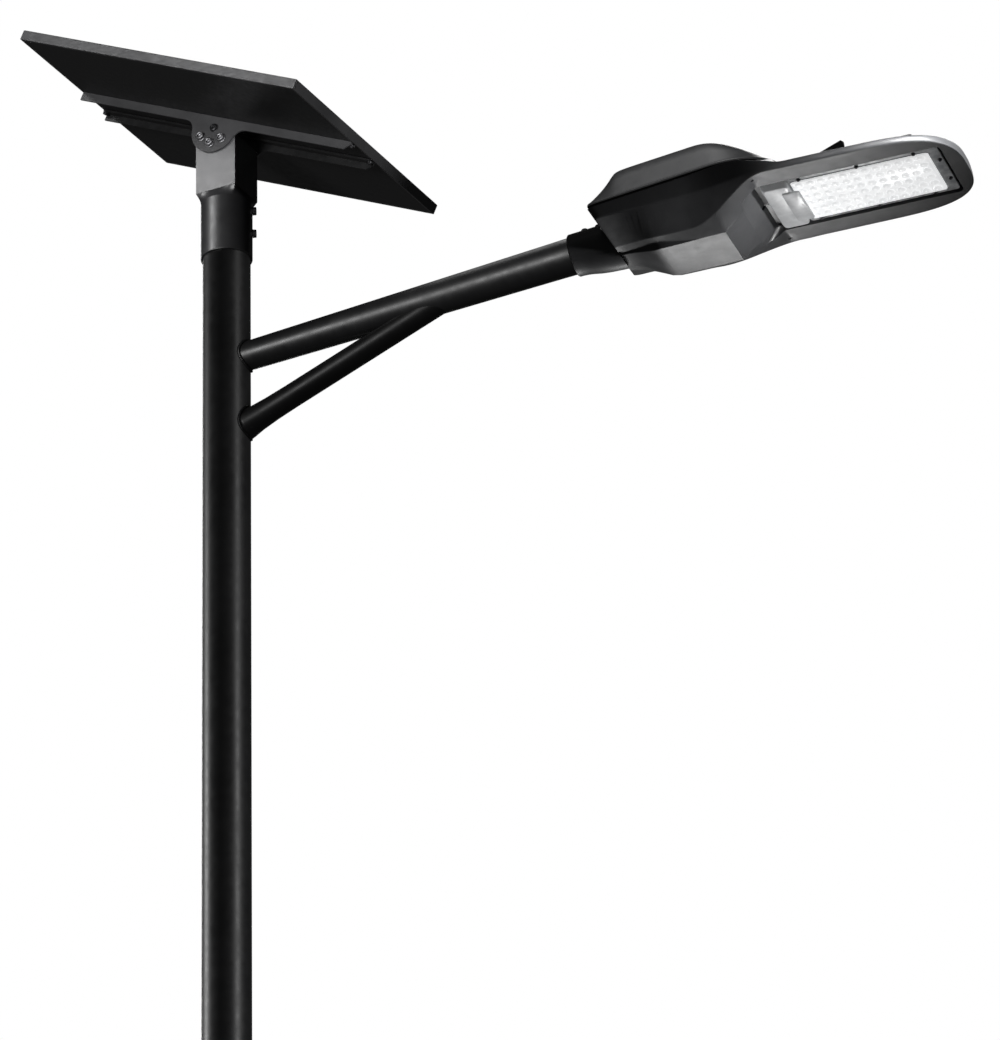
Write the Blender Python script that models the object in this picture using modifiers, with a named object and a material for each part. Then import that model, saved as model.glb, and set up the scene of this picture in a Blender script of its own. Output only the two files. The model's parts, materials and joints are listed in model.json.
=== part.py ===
# Solar street lamp: pole, outreach arm, panel head and luminaire, built as separate pieces.
# Metres, +Z up. Origin: centre of the base plate's underside, on the pole's axis.
# The arm reaches along +X. The panel head turns about the pole's axis, the panel tilts on
# the head, the luminaire turns on the arm's spigot and its battery lid opens on a pin.
import bpy
import bmesh
import math
from mathutils import Matrix, Vector

MM = 0.001

# ---------------------------------------------------------------- driving dimensions (mm)
POLE_R = 38.0            # pole tube, 76 mm outside
POLE_WALL = 3.5
BASE_SIDE = 250.0
BASE_THK = 14.0
ANCHOR_HALF = 90.0       # anchor holes on a 180 mm square
ANCHOR_R = 9.0
GUSSET_H = 110.0
GUSSET_LEN = 62.0
GUSSET_THK = 6.0

SLEEVE_BOTTOM = 2994.0   # height of the panel head's lower rim
SLEEVE_R = 41.2
SLEEVE_BORE_R = 38.4
SLEEVE_LEN = 98.0
TRANSITION = 15.0        # round to square part above the sleeve
BOX_SIDE = 71.6
BOX_WALL = 4.0
POLE_TOP = 3088.0
HEAD_YAW = -8.4          # degrees, rest heading of the panel head

PIVOT_Z = 3216.3
TILT = 25.5              # degrees, rest tilt of the panel
PLATE_THK = 3.0          # bent rails
RAIL_LEN = 548.0
RAIL_WEB = 14.0
RAIL_FLANGE = 16.0
RAIL_Q = 36.4            # inner face of each rail, from the head's axis
LUG_R = 42.0
LUG_FILLET = 20.0
UNDERSIDE = 20.0         # panel frame underside above the pivot, at right angles to it
LOCK_R = 26.0            # lock bolts' circle round the pivot
LOCK_ANGLES = (-44.0, 8.0, 56.0)
PANEL_P = 555.0
PANEL_Q = 458.0
PANEL_THK = 17.0
PANEL_SHIFT = -8.0
FRAME_WALL = 1.8
FRAME_LIP = 5.0

ARM_Z = 2810.2
ARM_RISE = 7.2           # degrees
ARM_R0 = 23.0
ARM_R1 = 29.3
ARM_SPIGOT_R = 29.5
ARM_TAPER_END = 566.0
ARM_END = 640.0
BRACE_R = 19.0
BRACE_Z = 2678.0
BRACE_RISE = 25.2

COLLAR_S = 584.0         # distances along the arm's axis from the pole's axis
COLLAR_R = 34.0
COLLAR_BORE_R = 30.1
TUB_REAR = 642.0
REAR_SLANT = 0.42
TIP = 1218.0
HEAD_HALF = 115.0
SEAM_HALF = 101.0
LID_FRONT = 946.0
S0 = 600.0               # luminaire frame's origin on the arm's axis

# ---------------------------------------------------------------- clean start
for ob in list(bpy.data.objects):
    bpy.data.objects.remove(ob, do_unlink=True)

PARTS = bpy.data.collections.new("solar_street_lamp")
CUTTERS = bpy.data.collections.new("cutters")
bpy.context.scene.collection.children.link(PARTS)
bpy.context.scene.collection.children.link(CUTTERS)


def material(name, colour, rough, metal):
    m = bpy.data.materials.new(name)
    m.use_nodes = True
    b = m.node_tree.nodes["Principled BSDF"]
    b.inputs["Base Color"].default_value = (*colour, 1.0)
    b.inputs["Roughness"].default_value = rough
    b.inputs["Metallic"].default_value = metal
    return m


MAT = {
    "coat": material("black_powder_coat", (0.012, 0.012, 0.013), 0.42, 0.0),
    "head": material("graphite_casting", (0.035, 0.036, 0.038), 0.45, 0.0),
    "anod": material("black_anodised", (0.02, 0.02, 0.022), 0.35, 0.6),
    "steel": material("dark_steel", (0.06, 0.06, 0.062), 0.4, 0.9),
    "zinc": material("zinc_steel", (0.55, 0.56, 0.58), 0.3, 1.0),
    "glass": material("solar_glass", (0.01, 0.012, 0.03), 0.08, 0.0),
    "back": material("black_backsheet", (0.012, 0.012, 0.013), 0.5, 0.0),
    "rubber": material("seal_rubber", (0.008, 0.008, 0.008), 0.8, 0.0),
    "lens": material("clear_lens", (0.9, 0.92, 0.93), 0.1, 0.0),
    "white": material("white_board", (0.85, 0.86, 0.86), 0.4, 0.0),
    "cell": material("battery_wrap", (0.02, 0.10, 0.30), 0.4, 0.0),
    "plastic": material("black_plastic", (0.02, 0.02, 0.02), 0.5, 0.0),
}


# ---------------------------------------------------------------- helpers
def empty(name, matrix):
    e = bpy.data.objects.new(name, None)
    PARTS.objects.link(e)
    e.matrix_world = matrix
    return e


def add(name, bm, mat, parent=None, smooth=None, cutter=False, loc=(0, 0, 0)):
    bmesh.ops.remove_doubles(bm, verts=bm.verts, dist=1e-5)
    bmesh.ops.recalc_face_normals(bm, faces=bm.faces)
    me = bpy.data.meshes.new(name)
    bm.to_mesh(me)
    bm.free()
    ob = bpy.data.objects.new(name, me)
    if cutter:
        CUTTERS.objects.link(ob)
        ob.hide_render = True
        ob.display_type = 'WIRE'
    else:
        PARTS.objects.link(ob)
        me.materials.append(mat)
    if parent is not None:
        ob.parent = parent
    ob.location = Vector(loc)
    if smooth:
        me.shade_smooth()
        me.set_sharp_from_angle(angle=math.radians(smooth))
    return ob


def cut(ob, cutter, op='DIFFERENCE'):
    m = ob.modifiers.new(cutter.name, 'BOOLEAN')
    m.operation = op
    m.solver = 'EXACT'
    m.object = cutter
    return m


def bevel(ob, width, segments=1, angle=40.0):
    m = ob.modifiers.new("edge", 'BEVEL')
    m.width = width * MM
    m.segments = segments
    m.limit_method = 'ANGLE'
    m.angle_limit = math.radians(angle)
    return m


def box(bm, x0, x1, y0, y1, z0, z1):
    r = bmesh.ops.create_cube(bm, size=1.0)
    vs = r["verts"]
    bmesh.ops.scale(bm, verts=vs, vec=((x1 - x0) * MM, (y1 - y0) * MM, (z1 - z0) * MM))
    bmesh.ops.translate(bm, verts=vs, vec=((x0 + x1) / 2 * MM, (y0 + y1) / 2 * MM, (z0 + z1) / 2 * MM))
    return vs


AXES = {"X": Matrix.Rotation(math.radians(90), 4, 'Y'),
        "Y": Matrix.Rotation(math.radians(-90), 4, 'X'),
        "Z": Matrix.Identity(4)}


def cyl(bm, axis, centre, r0, length, r1=None, seg=24, turn=0.0):
    """cylinder or cone whose base centre is at centre, running along +axis"""
    r = bmesh.ops.create_cone(bm, cap_ends=True, segments=seg, radius1=r0 * MM,
                              radius2=(r0 if r1 is None else r1) * MM, depth=length * MM)
    m = (Matrix.Translation(Vector(centre) * MM) @ AXES[axis]
         @ Matrix.Rotation(math.radians(turn), 4, 'Z') @ Matrix.Translation((0, 0, length / 2 * MM)))
    bmesh.ops.transform(bm, matrix=m, verts=r["verts"])
    return r["verts"]


def loft(bm, rings, closed_ring=True, cap=True):
    """skin a row of rings of equal count"""
    rows = [[bm.verts.new(Vector(p) * MM) for p in ring] for ring in rings]
    n = len(rows[0])
    for a, b in zip(rows[:-1], rows[1:]):
        for i in range(n if closed_ring else n - 1):
            j = (i + 1) % n
            bm.faces.new((a[i], a[j], b[j], b[i]))
    if cap:
        bm.faces.new(list(reversed(rows[0])))
        bm.faces.new(rows[-1])
    return rows


def outline_solid(name, pts, depth, mat, parent, axis='Y', start=0.0, cutter=False):
    """flat outline drawn in the x-z plane (or x-y for axis Z), extruded along its normal"""
    bm = bmesh.new()
    face = bm.faces.new([bm.verts.new((x * MM, z * MM, -depth / 2 * MM)) for x, z in pts])
    ext = bmesh.ops.extrude_face_region(bm, geom=[face])
    bmesh.ops.translate(bm, verts=[v for v in ext["geom"] if isinstance(v, bmesh.types.BMVert)], vec=(0, 0, depth * MM))
    if axis == 'Y':
        rot = Matrix.Rotation(math.radians(90), 4, 'X')
        bmesh.ops.transform(bm, matrix=Matrix.Translation((0, (start + depth / 2) * MM, 0)) @ rot, verts=bm.verts)
    else:
        bmesh.ops.translate(bm, verts=bm.verts, vec=(0, 0, (start + depth / 2) * MM))
    return add(name, bm, mat, parent, cutter=cutter)


def smooth(x, a, b):
    t = min(1.0, max(0.0, (x - a) / (b - a)))
    return t * t * (3 - 2 * t)


def mix(a, b, t):
    return a + (b - a) * t


def arc(cx, cz, r, a0, a1, n):
    return [(cx + r * math.cos(math.radians(a0 + (a1 - a0) * i / n)),
             cz + r * math.sin(math.radians(a0 + (a1 - a0) * i / n))) for i in range(n + 1)]


# ================================================================ pole, base and arm (fixed body)
bm = bmesh.new()
box(bm, -BASE_SIDE / 2, BASE_SIDE / 2, -BASE_SIDE / 2, BASE_SIDE / 2, 0, BASE_THK)
bmesh.ops.bevel(bm, geom=[e for e in bm.edges if abs(e.verts[0].co.z - e.verts[1].co.z) > 1e-4],
                offset=14 * MM, segments=3, affect='EDGES')
base = add("base_plate", bm, MAT["coat"])
bm = bmesh.new()
for sx in (-1, 1):
    for sy in (-1, 1):
        cyl(bm, "Z", (sx * ANCHOR_HALF, sy * ANCHOR_HALF, -5), ANCHOR_R, 40, seg=20)
cut(base, add("base_holes", bm, None, cutter=True))

bm = bmesh.new()
cyl(bm, "Z", (0, 0, BASE_THK + 0.3), POLE_R, POLE_TOP - BASE_THK - 0.3, seg=48)
pole = add("pole_tube", bm, MAT["coat"], smooth=40)
bm = bmesh.new()
cyl(bm, "Z", (0, 0, 0), POLE_R - POLE_WALL, POLE_TOP + 10, seg=48)
cut(pole, add("pole_bore", bm, None, cutter=True))

for i in range(4):
    bm = bmesh.new()
    x0, x1 = POLE_R + 0.3, POLE_R + 0.3 + GUSSET_LEN
    z0, z1 = BASE_THK + 0.3, BASE_THK + GUSSET_H
    prof = [(x0 + 8, z0), (x1, z0), (x1, z0 + 12), (x0 + 12, z1), (x0, z1), (x0, z0 + 8)]
    loft(bm, [[(x, -GUSSET_THK / 2, z) for x, z in prof], [(x, GUSSET_THK / 2, z) for x, z in prof]])
    bmesh.ops.rotate(bm, verts=bm.verts, cent=(0, 0, 0), matrix=Matrix.Rotation(math.radians(45 + 90 * i), 3, 'Z'))
    add("base_gusset_%d" % (i + 1), bm, MAT["coat"])

# arm: a tapered tube mitred on the pole, with a parallel spigot at its outer end
ARM_M = Matrix.Translation((0, 0, ARM_Z * MM)) @ Matrix.Rotation(math.radians(-ARM_RISE), 4, 'Y')
arm_axis = empty("arm_axis", ARM_M)
SEG = 32


def ring(s, r, seg=SEG, h=0.0, t=0.0):
    return [(s, t + r * math.cos(2 * math.pi * i / seg), h + r * math.sin(2 * math.pi * i / seg)) for i in range(seg)]


bm = bmesh.new()
loft(bm, [ring(-10, ARM_R0), ring(ARM_TAPER_END, ARM_R1), ring(ARM_TAPER_END + 6, ARM_SPIGOT_R), ring(ARM_END, ARM_SPIGOT_R)])
arm = add("arm_tube", bm, MAT["coat"], arm_axis, smooth=40)
bm = bmesh.new()
loft(bm, [ring(-40, ARM_R0 - 3), ring(ARM_TAPER_END, ARM_R1 - 3), ring(ARM_END + 20, ARM_SPIGOT_R - 3)])
cut(arm, add("arm_bore", bm, None, arm_axis, cutter=True))
bm = bmesh.new()
cyl(bm, "Z", (0, 0, 2000), POLE_R + 0.3, 1080, seg=48)
pole_clear = add("pole_clearance", bm, None, cutter=True)
cut(arm, pole_clear)

# brace: a straight tube whose ends are cut to the pole and flattened under the arm
BR = math.radians(BRACE_RISE)
brace_axis = empty("brace_axis", Matrix.Translation((0, 0, BRACE_Z * MM)) @ Matrix.Rotation(-BR, 4, 'Y'))
bm = bmesh.new()
L = 560.0
loft(bm, [ring(0, BRACE_R + 8), ring(38, BRACE_R + 4.6), ring(56, BRACE_R + 2.2), ring(84, BRACE_R + 0.6), ring(120, BRACE_R), ring(L, BRACE_R)])
brace = add("brace_tube", bm, MAT["coat"], brace_axis, smooth=40)
bm = bmesh.new()
loft(bm, [ring(-20, BRACE_R - 2.5), ring(L - 120, BRACE_R - 2.5)])
cut(brace, add("brace_bore", bm, None, brace_axis, cutter=True))
cut(brace, pole_clear)
bm = bmesh.new()
loft(bm, [ring(-60, ARM_R0 + 0.3 + (ARM_R0 - ARM_R1) * 50 / 576), ring(ARM_TAPER_END, ARM_R1 + 0.3), ring(ARM_END + 40, ARM_R1 + 0.8)])
arm_clear = add("arm_clearance", bm, None, arm_axis, cutter=True)
cut(brace, arm_clear)
bm = bmesh.new()
box(bm, 100, 900, -80, 80, 0, 200)
cut(brace, add("above_arm_clearance", bm, None, arm_axis, cutter=True))

# ================================================================ panel head (turns about the pole)
head = empty("panel_head_axis", Matrix.Rotation(math.radians(HEAD_YAW), 4, 'Z'))
SLEEVE_TOP = SLEEVE_BOTTOM + SLEEVE_LEN
BOX_Z0 = SLEEVE_TOP + TRANSITION + 0.3
HB = BOX_SIDE / 2
TOP_L = PIVOT_Z + 12.0


def square_ring(h, seg, z):
    out = []
    for i in range(seg):
        a = 2 * math.pi * i / seg
        c, s = math.cos(a), math.sin(a)
        k = h / max(abs(c), abs(s))
        out.append((c * k, s * k, z))
    return out


def z_ring(r, seg, z):
    return [(r * math.cos(2 * math.pi * i / seg), r * math.sin(2 * math.pi * i / seg), z) for i in range(seg)]


bm = bmesh.new()
loft(bm, [z_ring(SLEEVE_R, 48, SLEEVE_BOTTOM), z_ring(SLEEVE_R, 48, SLEEVE_TOP), square_ring(HB, 48, SLEEVE_TOP + TRANSITION)])
sleeve = add("adapter_sleeve", bm, MAT["coat"], head, smooth=40)
bm = bmesh.new()
cyl(bm, "Z", (0, 0, SLEEVE_BOTTOM - 10), SLEEVE_BORE_R, 10 + POLE_TOP - SLEEVE_BOTTOM + 0.5, seg=48)
cyl(bm, "Z", (0, 0, POLE_TOP - 2), 22, 60, seg=24)
sl_bore = add("sleeve_bore", bm, None, head, cutter=True)
cut(sleeve, sl_bore)

box_pts = [(-HB, BOX_Z0), (HB, BOX_Z0), (HB, PIVOT_Z - 17), (10, TOP_L), (-HB, TOP_L)]
abox = outline_solid("adapter_box", box_pts, BOX_SIDE, MAT["coat"], head, 'Y', -HB)
bm = bmesh.new()
HI = HB - BOX_WALL
box(bm, -HI, HI, -HI, HI, BOX_Z0 - 10, TOP_L + 30)
cut(abox, add("box_hollow", bm, None, head, cutter=True))
# pivot hole and the curved slot that the lock bolts slide in
bm = bmesh.new()
cyl(bm, "Y", (0, -60, PIVOT_Z), 4.3, 120, seg=20)
cut(abox, add("pivot_hole", bm, None, head, cutter=True))
sw = 4.6
sl_pts = (arc(0, PIVOT_Z, LOCK_R + sw, -191, -24, 16) + arc(0, PIVOT_Z, LOCK_R - sw, -24, -191, 16))
cut(abox, outline_solid("lock_slot", sl_pts, 160, None, head, 'Y', -80, cutter=True))

# set bolts that clamp the sleeve on the pole
k = 1
for ang in (27.0,):
    for zz in (3041.0, 3082.0):
        bm2 = bmesh.new()
        prof = [(POLE_R + 0.4, 3.6), (SLEEVE_R + 0.5, 3.6), (SLEEVE_R + 0.5, 6.8), (SLEEVE_R + 5.8, 6.8), (SLEEVE_R + 6.6, 5.6)]
        loft(bm2, [[(x, r * math.cos(math.radians(30 * j)), r * math.sin(math.radians(30 * j))) for j in range(12)] for x, r in prof])
        bmesh.ops.rotate(bm2, verts=bm2.verts, cent=(0, 0, 0), matrix=Matrix.Rotation(math.radians(ang), 3, 'Z'))
        bmesh.ops.translate(bm2, verts=bm2.verts, vec=(0, 0, zz * MM))
        add("sleeve_set_bolt_%d" % k, bm2, MAT["steel"], head)
        bm3 = bmesh.new()
        cyl(bm3, "X", (POLE_R - 6, 0, 0), 3.9, 20, seg=16)
        bmesh.ops.rotate(bm3, verts=bm3.verts, cent=(0, 0, 0), matrix=Matrix.Rotation(math.radians(ang), 3, 'Z'))
        bmesh.ops.translate(bm3, verts=bm3.verts, vec=(0, 0, zz * MM))
        cut(sleeve, add("set_hole_%d" % k, bm3, None, head, cutter=True))
        k += 1

# pivot bolt with its nut
OUT = RAIL_Q + PLATE_THK + 0.3
bm = bmesh.new()
prof = [(-OUT - 2.0, 4.6), (-OUT - 1.4, 5.4), (-OUT, 5.4), (-OUT, 4.0), (OUT + 9.5, 4.0)]
loft(bm, [[(r * math.cos(2 * math.pi * j / 20), y, r * math.sin(2 * math.pi * j / 20)) for j in range(20)] for y, r in prof])
bmesh.ops.translate(bm, verts=bm.verts, vec=(0, 0, PIVOT_Z * MM))
add("pivot_bolt", bm, MAT["steel"], head, smooth=40)
bm = bmesh.new()
cyl(bm, "Y", (0, OUT, PIVOT_Z), 7.5, 6.5, seg=6)
nut = add("pivot_nut", bm, MAT["steel"], head)
bm = bmesh.new()
cyl(bm, "Y", (0, OUT - 5, PIVOT_Z), 4.3, 20, seg=20)
cut(nut, add("nut_bore", bm, None, head, cutter=True))

# ================================================================ tilting panel
TILT_M = Matrix.Translation((0, 0, PIVOT_Z * MM)) @ Matrix.Rotation(math.radians(TILT), 4, 'Y')
tilt = empty("panel_tilt_axis", Matrix.Identity(4))
tilt.parent = head
tilt.matrix_local = TILT_M

P0, P1 = PANEL_SHIFT - PANEL_P / 2, PANEL_SHIFT + PANEL_P / 2
WB = UNDERSIDE - 0.3 - RAIL_WEB      # lower edge of a rail's web


def rail_outline():
    a0, a1 = PANEL_SHIFT - RAIL_LEN / 2, PANEL_SHIFT + RAIL_LEN / 2
    top = UNDERSIDE - 0.3
    pts = [(a0, top), (a0 - 0.0, WB), ]
    # fillet from the web's lower edge into the half-round lug, on each side
    R, f = LUG_R, LUG_FILLET
    cz = WB - f                       # fillet centre lies f below the web's edge
    cx = math.sqrt((R + f) ** 2 - cz * cz)
    left = arc(-cx, cz, f, 90, math.degrees(math.atan2(-cz, cx)), 5)
    lug0 = math.degrees(math.atan2(cz, -cx))
    lug1 = math.degrees(math.atan2(cz, cx))
    lug = arc(0, 0, R, lug0 if lug0 < 0 else lug0 - 360, lug1, 18)
    right = arc(cx, cz, f, 180 - math.degrees(math.atan2(-cz, cx)), 90, 5)
    pts += left + lug[1:-1] + right
    pts += [(a1 - 10, WB), (a1, WB + 9), (a1, top)]
    return pts


for side, sgn in (("near", -1), ("far", 1)):
    y0 = -RAIL_Q - PLATE_THK if sgn < 0 else RAIL_Q
    web = outline_solid("rail_" + side, rail_outline(), PLATE_THK, MAT["coat"], tilt, 'Y', y0)
    a0, a1 = PANEL_SHIFT - RAIL_LEN / 2, PANEL_SHIFT + RAIL_LEN / 2
    bm = bmesh.new()
    if sgn < 0:
        box(bm, a0 + 1, a1 - 1, -RAIL_Q - 1.3, -RAIL_Q + RAIL_FLANGE - PLATE_THK, UNDERSIDE - 0.5 - PLATE_THK, UNDERSIDE - 0.5)
    else:
        box(bm, a0 + 1, a1 - 1, RAIL_Q - RAIL_FLANGE + PLATE_THK, RAIL_Q + 1.3, UNDERSIDE - 0.5 - PLATE_THK, UNDERSIDE - 0.5)
    fl = add("rail_flange_" + side, bm, None, tilt, cutter=True)
    cut(web, fl, 'UNION')
    bm = bmesh.new()
    cyl(bm, "Y", (0, -60, 0), 4.3, 120, seg=20)
    for a in LOCK_ANGLES:
        cyl(bm, "Y", (LOCK_R * math.sin(math.radians(a)), -60, -LOCK_R * math.cos(math.radians(a))), 4.3, 120, seg=20)
    for x in (P0 + 6.5, P1 - 6.5):
        cyl(bm, "Z", (x, sgn * (RAIL_Q - 7), 0), 2.7, 40, seg=12)
    cut(web, add("rail_holes_" + side, bm, None, tilt, cutter=True))
    # crescent clamp plate inside the box, and the three lock bolts
    ca = [math.radians(a) for a in (LOCK_ANGLES[0] - 16, LOCK_ANGLES[2] + 16)]
    pl = arc(0, 0, LOCK_R + 5.2, math.degrees(ca[0]) - 90, math.degrees(ca[1]) - 90, 12) + \
        arc(0, 0, LOCK_R - 5.2, math.degrees(ca[1]) - 90, math.degrees(ca[0]) - 90, 12)
    yp = -HI + 0.3 if sgn < 0 else HI - 0.3 - 4
    plate = outline_solid("clamp_plate_" + side, pl, 4.0, MAT["steel"], tilt, 'Y', yp)
    bm = bmesh.new()
    for a in LOCK_ANGLES:
        cyl(bm, "Y", (LOCK_R * math.sin(math.radians(a)), -60, -LOCK_R * math.cos(math.radians(a))), 4.3, 120, seg=16)
    cut(plate, add("clamp_holes_" + side, bm, None, tilt, cutter=True))
    for n, a in enumerate(LOCK_ANGLES):
        bm = bmesh.new()
        cx, cz = LOCK_R * math.sin(math.radians(a)), -LOCK_R * math.cos(math.radians(a))
        prof = [(HI - 6.0, 4.0), (OUT, 4.0), (OUT, 6.6), (OUT + 6.2, 6.6), (OUT + 7.2, 5.8), (OUT + 7.2, 3.3), (OUT + 2.6, 3.3)]
        loft(bm, [[(cx + r * math.cos(2 * math.pi * j / 18), sgn * y, cz + r * math.sin(2 * math.pi * j / 18)) for j in range(18)]
                  for y, r in prof])
        add("lock_bolt_%s_%d" % (side, n + 1), bm, MAT["steel"], tilt, smooth=40)

# panel frame: an extrusion with a glass groove and an inward lip, mitred at the corners
PROF = [(0, 0), (FRAME_LIP, 0), (FRAME_LIP, 1.6), (FRAME_WALL, 1.6), (FRAME_WALL, 11.4), (6.5, 11.4), (6.5, 12.4),
        (FRAME_WALL, 12.4), (FRAME_WALL, 16.2), (6.5, 16.2), (6.5, PANEL_THK), (1.2, PANEL_THK), (0, PANEL_THK - 1.2)]
U = UNDERSIDE
HQ = PANEL_Q / 2
for nm, sgn in (("near", -1), ("far", 1)):
    bm = bmesh.new()
    g = 0.15
    loft(bm, [[(P0 + d + g, sgn * (HQ - d), U + z) for d, z in PROF], [(P1 - d - g, sgn * (HQ - d), U + z) for d, z in PROF]])
    add("panel_frame_" + nm, bm, MAT["anod"], tilt)
for nm, px, sg in (("upper", P0, 1), ("lower", P1, -1)):
    bm = bmesh.new()
    loft(bm, [[(px + sg * d, -HQ + d + g, U + z) for d, z in PROF], [(px + sg * d, HQ - d - g, U + z) for d, z in PROF]])
    add("panel_frame_" + nm, bm, MAT["anod"], tilt)
bm = bmesh.new()
e = FRAME_WALL + 0.4
box(bm, P0 + e, P1 - e, -HQ + e, HQ - e, U + 13.0, U + 15.9)
add("panel_glass", bm, MAT["glass"], tilt)
bm = bmesh.new()
box(bm, P0 + 7.2, P1 - 7.2, -HQ + 7.2, HQ - 7.2, U + 11.6, U + 12.7)
add("panel_backsheet", bm, MAT["back"], tilt)
bm = bmesh.new()
box(bm, 96, 166, -22, 22, U + 2.0, U + 11.2)
jb = add("junction_box", bm, MAT["plastic"], tilt)
c = FRAME_LIP + 0.3
bmc = bmesh.new()
box(bmc, P0 + c, P1 - c, -HQ + c, HQ - c, U, U + 1.5)
cover = add("panel_back_cover", bmc, MAT["back"], tilt)
bevel(jb, 2.0, 1)
bm = bmesh.new()
cyl(bm, "X", (86, 0, U + 6.6), 3.4, 9.6, r1=4.2, seg=16)
add("junction_gland", bm, MAT["plastic"], tilt, smooth=40)

for nm, sgn in (("near", -1), ("far", 1)):
    for nn, x in (("upper", P0 + 6.5), ("lower", P1 - 6.5)):
        bm = bmesh.new()
        y = sgn * (RAIL_Q - 7)
        prof = [(UNDERSIDE - 0.9 - PLATE_THK - 3.4, 4.6), (UNDERSIDE - 0.8 - PLATE_THK, 4.6), (UNDERSIDE - 0.8 - PLATE_THK, 2.4),
                (UNDERSIDE - 0.3, 2.4)]
        loft(bm, [[(x + r * math.cos(2 * math.pi * j / 12), y + r * math.sin(2 * math.pi * j / 12), z) for j in range(12)] for z, r in prof])
        add("rail_bolt_%s_%s" % (nm, nn), bm, MAT["steel"], tilt, smooth=40)

# ================================================================ luminaire (turns on the arm's spigot)
lum = empty("luminaire_axis", ARM_M @ Matrix.Translation((S0 * MM, 0, 0)))


def lp(s, t, h):
    return (s - S0, t, h)


def seam_h(s):
    return 13.0 + 0.02 * (s - TUB_REAR)


def head_h(s):
    """height of the head's flat underside"""
    return -28.0 - 0.09 * (s - 960.0)


def plan_half(s, full, start, end, power):
    """half width of a plan outline that closes at end"""
    if s <= start:
        return full
    x = min(1.0, (s - start) / (end - start))
    return full * max(0.0, 1 - x ** power) ** (1 / power)


def rear_round(s, r):
    """corner rounding of the plan outline behind the tub"""
    x = min(1.0, max(0.0, (s - TUB_REAR) / r))
    return 0.96 + 0.04 * math.sqrt(max(0.0, 1 - (1 - x) ** 2))


def rim_half(s):
    w = mix(SEAM_HALF, HEAD_HALF, smooth(s, 800, 950))
    return plan_half(s, w, 1060, TIP, 3.1)


def low_h(s):
    tub = -47.0 - 0.072 * (s - 675.0) + 13.0 * (1 - smooth(s, 640, 730))
    return mix(tub, head_h(s), smooth(s, 795, 928))


def low_half(s):
    return plan_half(s, mix(mix(40.0, 66.0, smooth(s, 640, 730)), HEAD_HALF, smooth(s, 780, 938)) - 2.5 * smooth(s, 900, 960), 1060, TIP, 3.1)


def bottom_h(s):
    tub = mix(-38.0, -58.5, smooth(s, 640, 722)) - 0.060 * (s - 675.0)
    k = min(1.0, max(0.0, (s - 838.0) / 66.0))
    return mix(tub, head_h(s), k)


def lid_half(s):
    return plan_half(s, SEAM_HALF - 1.0, 838, LID_FRONT, 2.2)


def section(s, grow=0.0):
    """outer section of the lower casting, from the top centre round to it again"""
    kt = smooth(s, 905, 962)
    kr = rear_round(s, 14)
    a = rim_half(s) * kr
    seam = seam_h(s)
    rim = mix(seam, head_h(s) + 11.0, smooth(s, 850, 965))
    top_w = mix(min(lid_half(s) + 0.5, a - 2.0), a * 0.84, kt)
    top_h = mix(seam, head_h(s) + 17.0, smooth(s, 932, 950))
    crease = mix(-8.0 - 0.05 * (s - 658.0), head_h(s) + 4.0, smooth(s, 830, 945))
    b = mix(a + 2.0, a, smooth(s, 830, 945))
    c = min(low_half(s) * (kr if s < 800 else 1.0), b - 0.4)
    lh = low_h(s)
    d = mix(mix(19.0, 46.0, smooth(s, 640, 730)), c - 16.0, smooth(s, 850, 930))
    d = max(2.0, min(d, c - 3.0)) if c > 6 else c * 0.5
    bh = bottom_h(s) if s < 922 else lh - 0.02
    step = mix(lh - 1.0, bh + 0.5, smooth(s, 690, 806)) if s < 806 else mix(lh, bh, 0.96)
    e = d + min(1.5, 0.5 * (c - d))
    half = [(0.0, top_h), (top_w, top_h), (a, rim), (b, crease), (c, lh), (e, step), (d, bh), (0.0, bh)]
    pts = half + [(-t, h) for t, h in reversed(half[1:-1])]
    k = REAR_SLANT * (1 - smooth(s, TUB_REAR, 760))
    return [lp(s + k * (seam - h), t, h) for t, h in pts]


STATIONS = [642, 646, 651, 657, 666, 680, 710, 750, 790, 806, 820, 835, 850, 865, 880, 895, 910, 922, 932, 941, 950, 965, 990, 1020,
            1060, 1095, 1125, 1150, 1172, 1190, 1203, 1211, 1215.5, 1217.6]
bm = bmesh.new()
loft(bm, [section(s) for s in STATIONS])
housing = add("lower_housing", bm, MAT["head"], lum, smooth=32)

# battery compartment
bm = bmesh.new()


def rect(s0, s1, w, h, c=12.0):
    return [lp(s0 + c, -w, h), lp(s1 - c, -w, h), lp(s1, -w + c, h), lp(s1, w - c, h), lp(s1 - c, w, h), lp(s0 + c, w, h),
            lp(s0, w - c, h), lp(s0, -w + c, h)]


loft(bm, [rect(716, 832, 46, -43, 15), rect(700, 838, 54, -36, 15), rect(668, 846, 94, -10), rect(666, 848, 93, 60)])
cut(housing, add("battery_bay", bm, None, lum, cutter=True))
# LED pocket, open below, with a slanting rear wall
bm = bmesh.new()
top = [lp(s, t, head_h(s) + 9.0) for s, t in ((850, -100), (1230, -100), (1230, 100), (850, 100))]
bot = [lp(s, t, -200) for s, t in ((850, -100), (1230, -100), (1230, 100), (850, 100))]
loft(bm, [bot, top])
under = add("pocket_floor", bm, None, lum, cutter=True)
bm = bmesh.new()
loft(bm, [rect(800, 1193, 73, -120, 8), rect(860, 1193, 73, -60, 8), rect(903, 1193, 73, -14, 8), rect(904, 1193, 73, 20, 8)])
pocket2 = add("led_pocket_prism", bm, None, lum, cutter=True)
cut(pocket2, under, 'INTERSECT')
cut(housing, pocket2)
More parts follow.
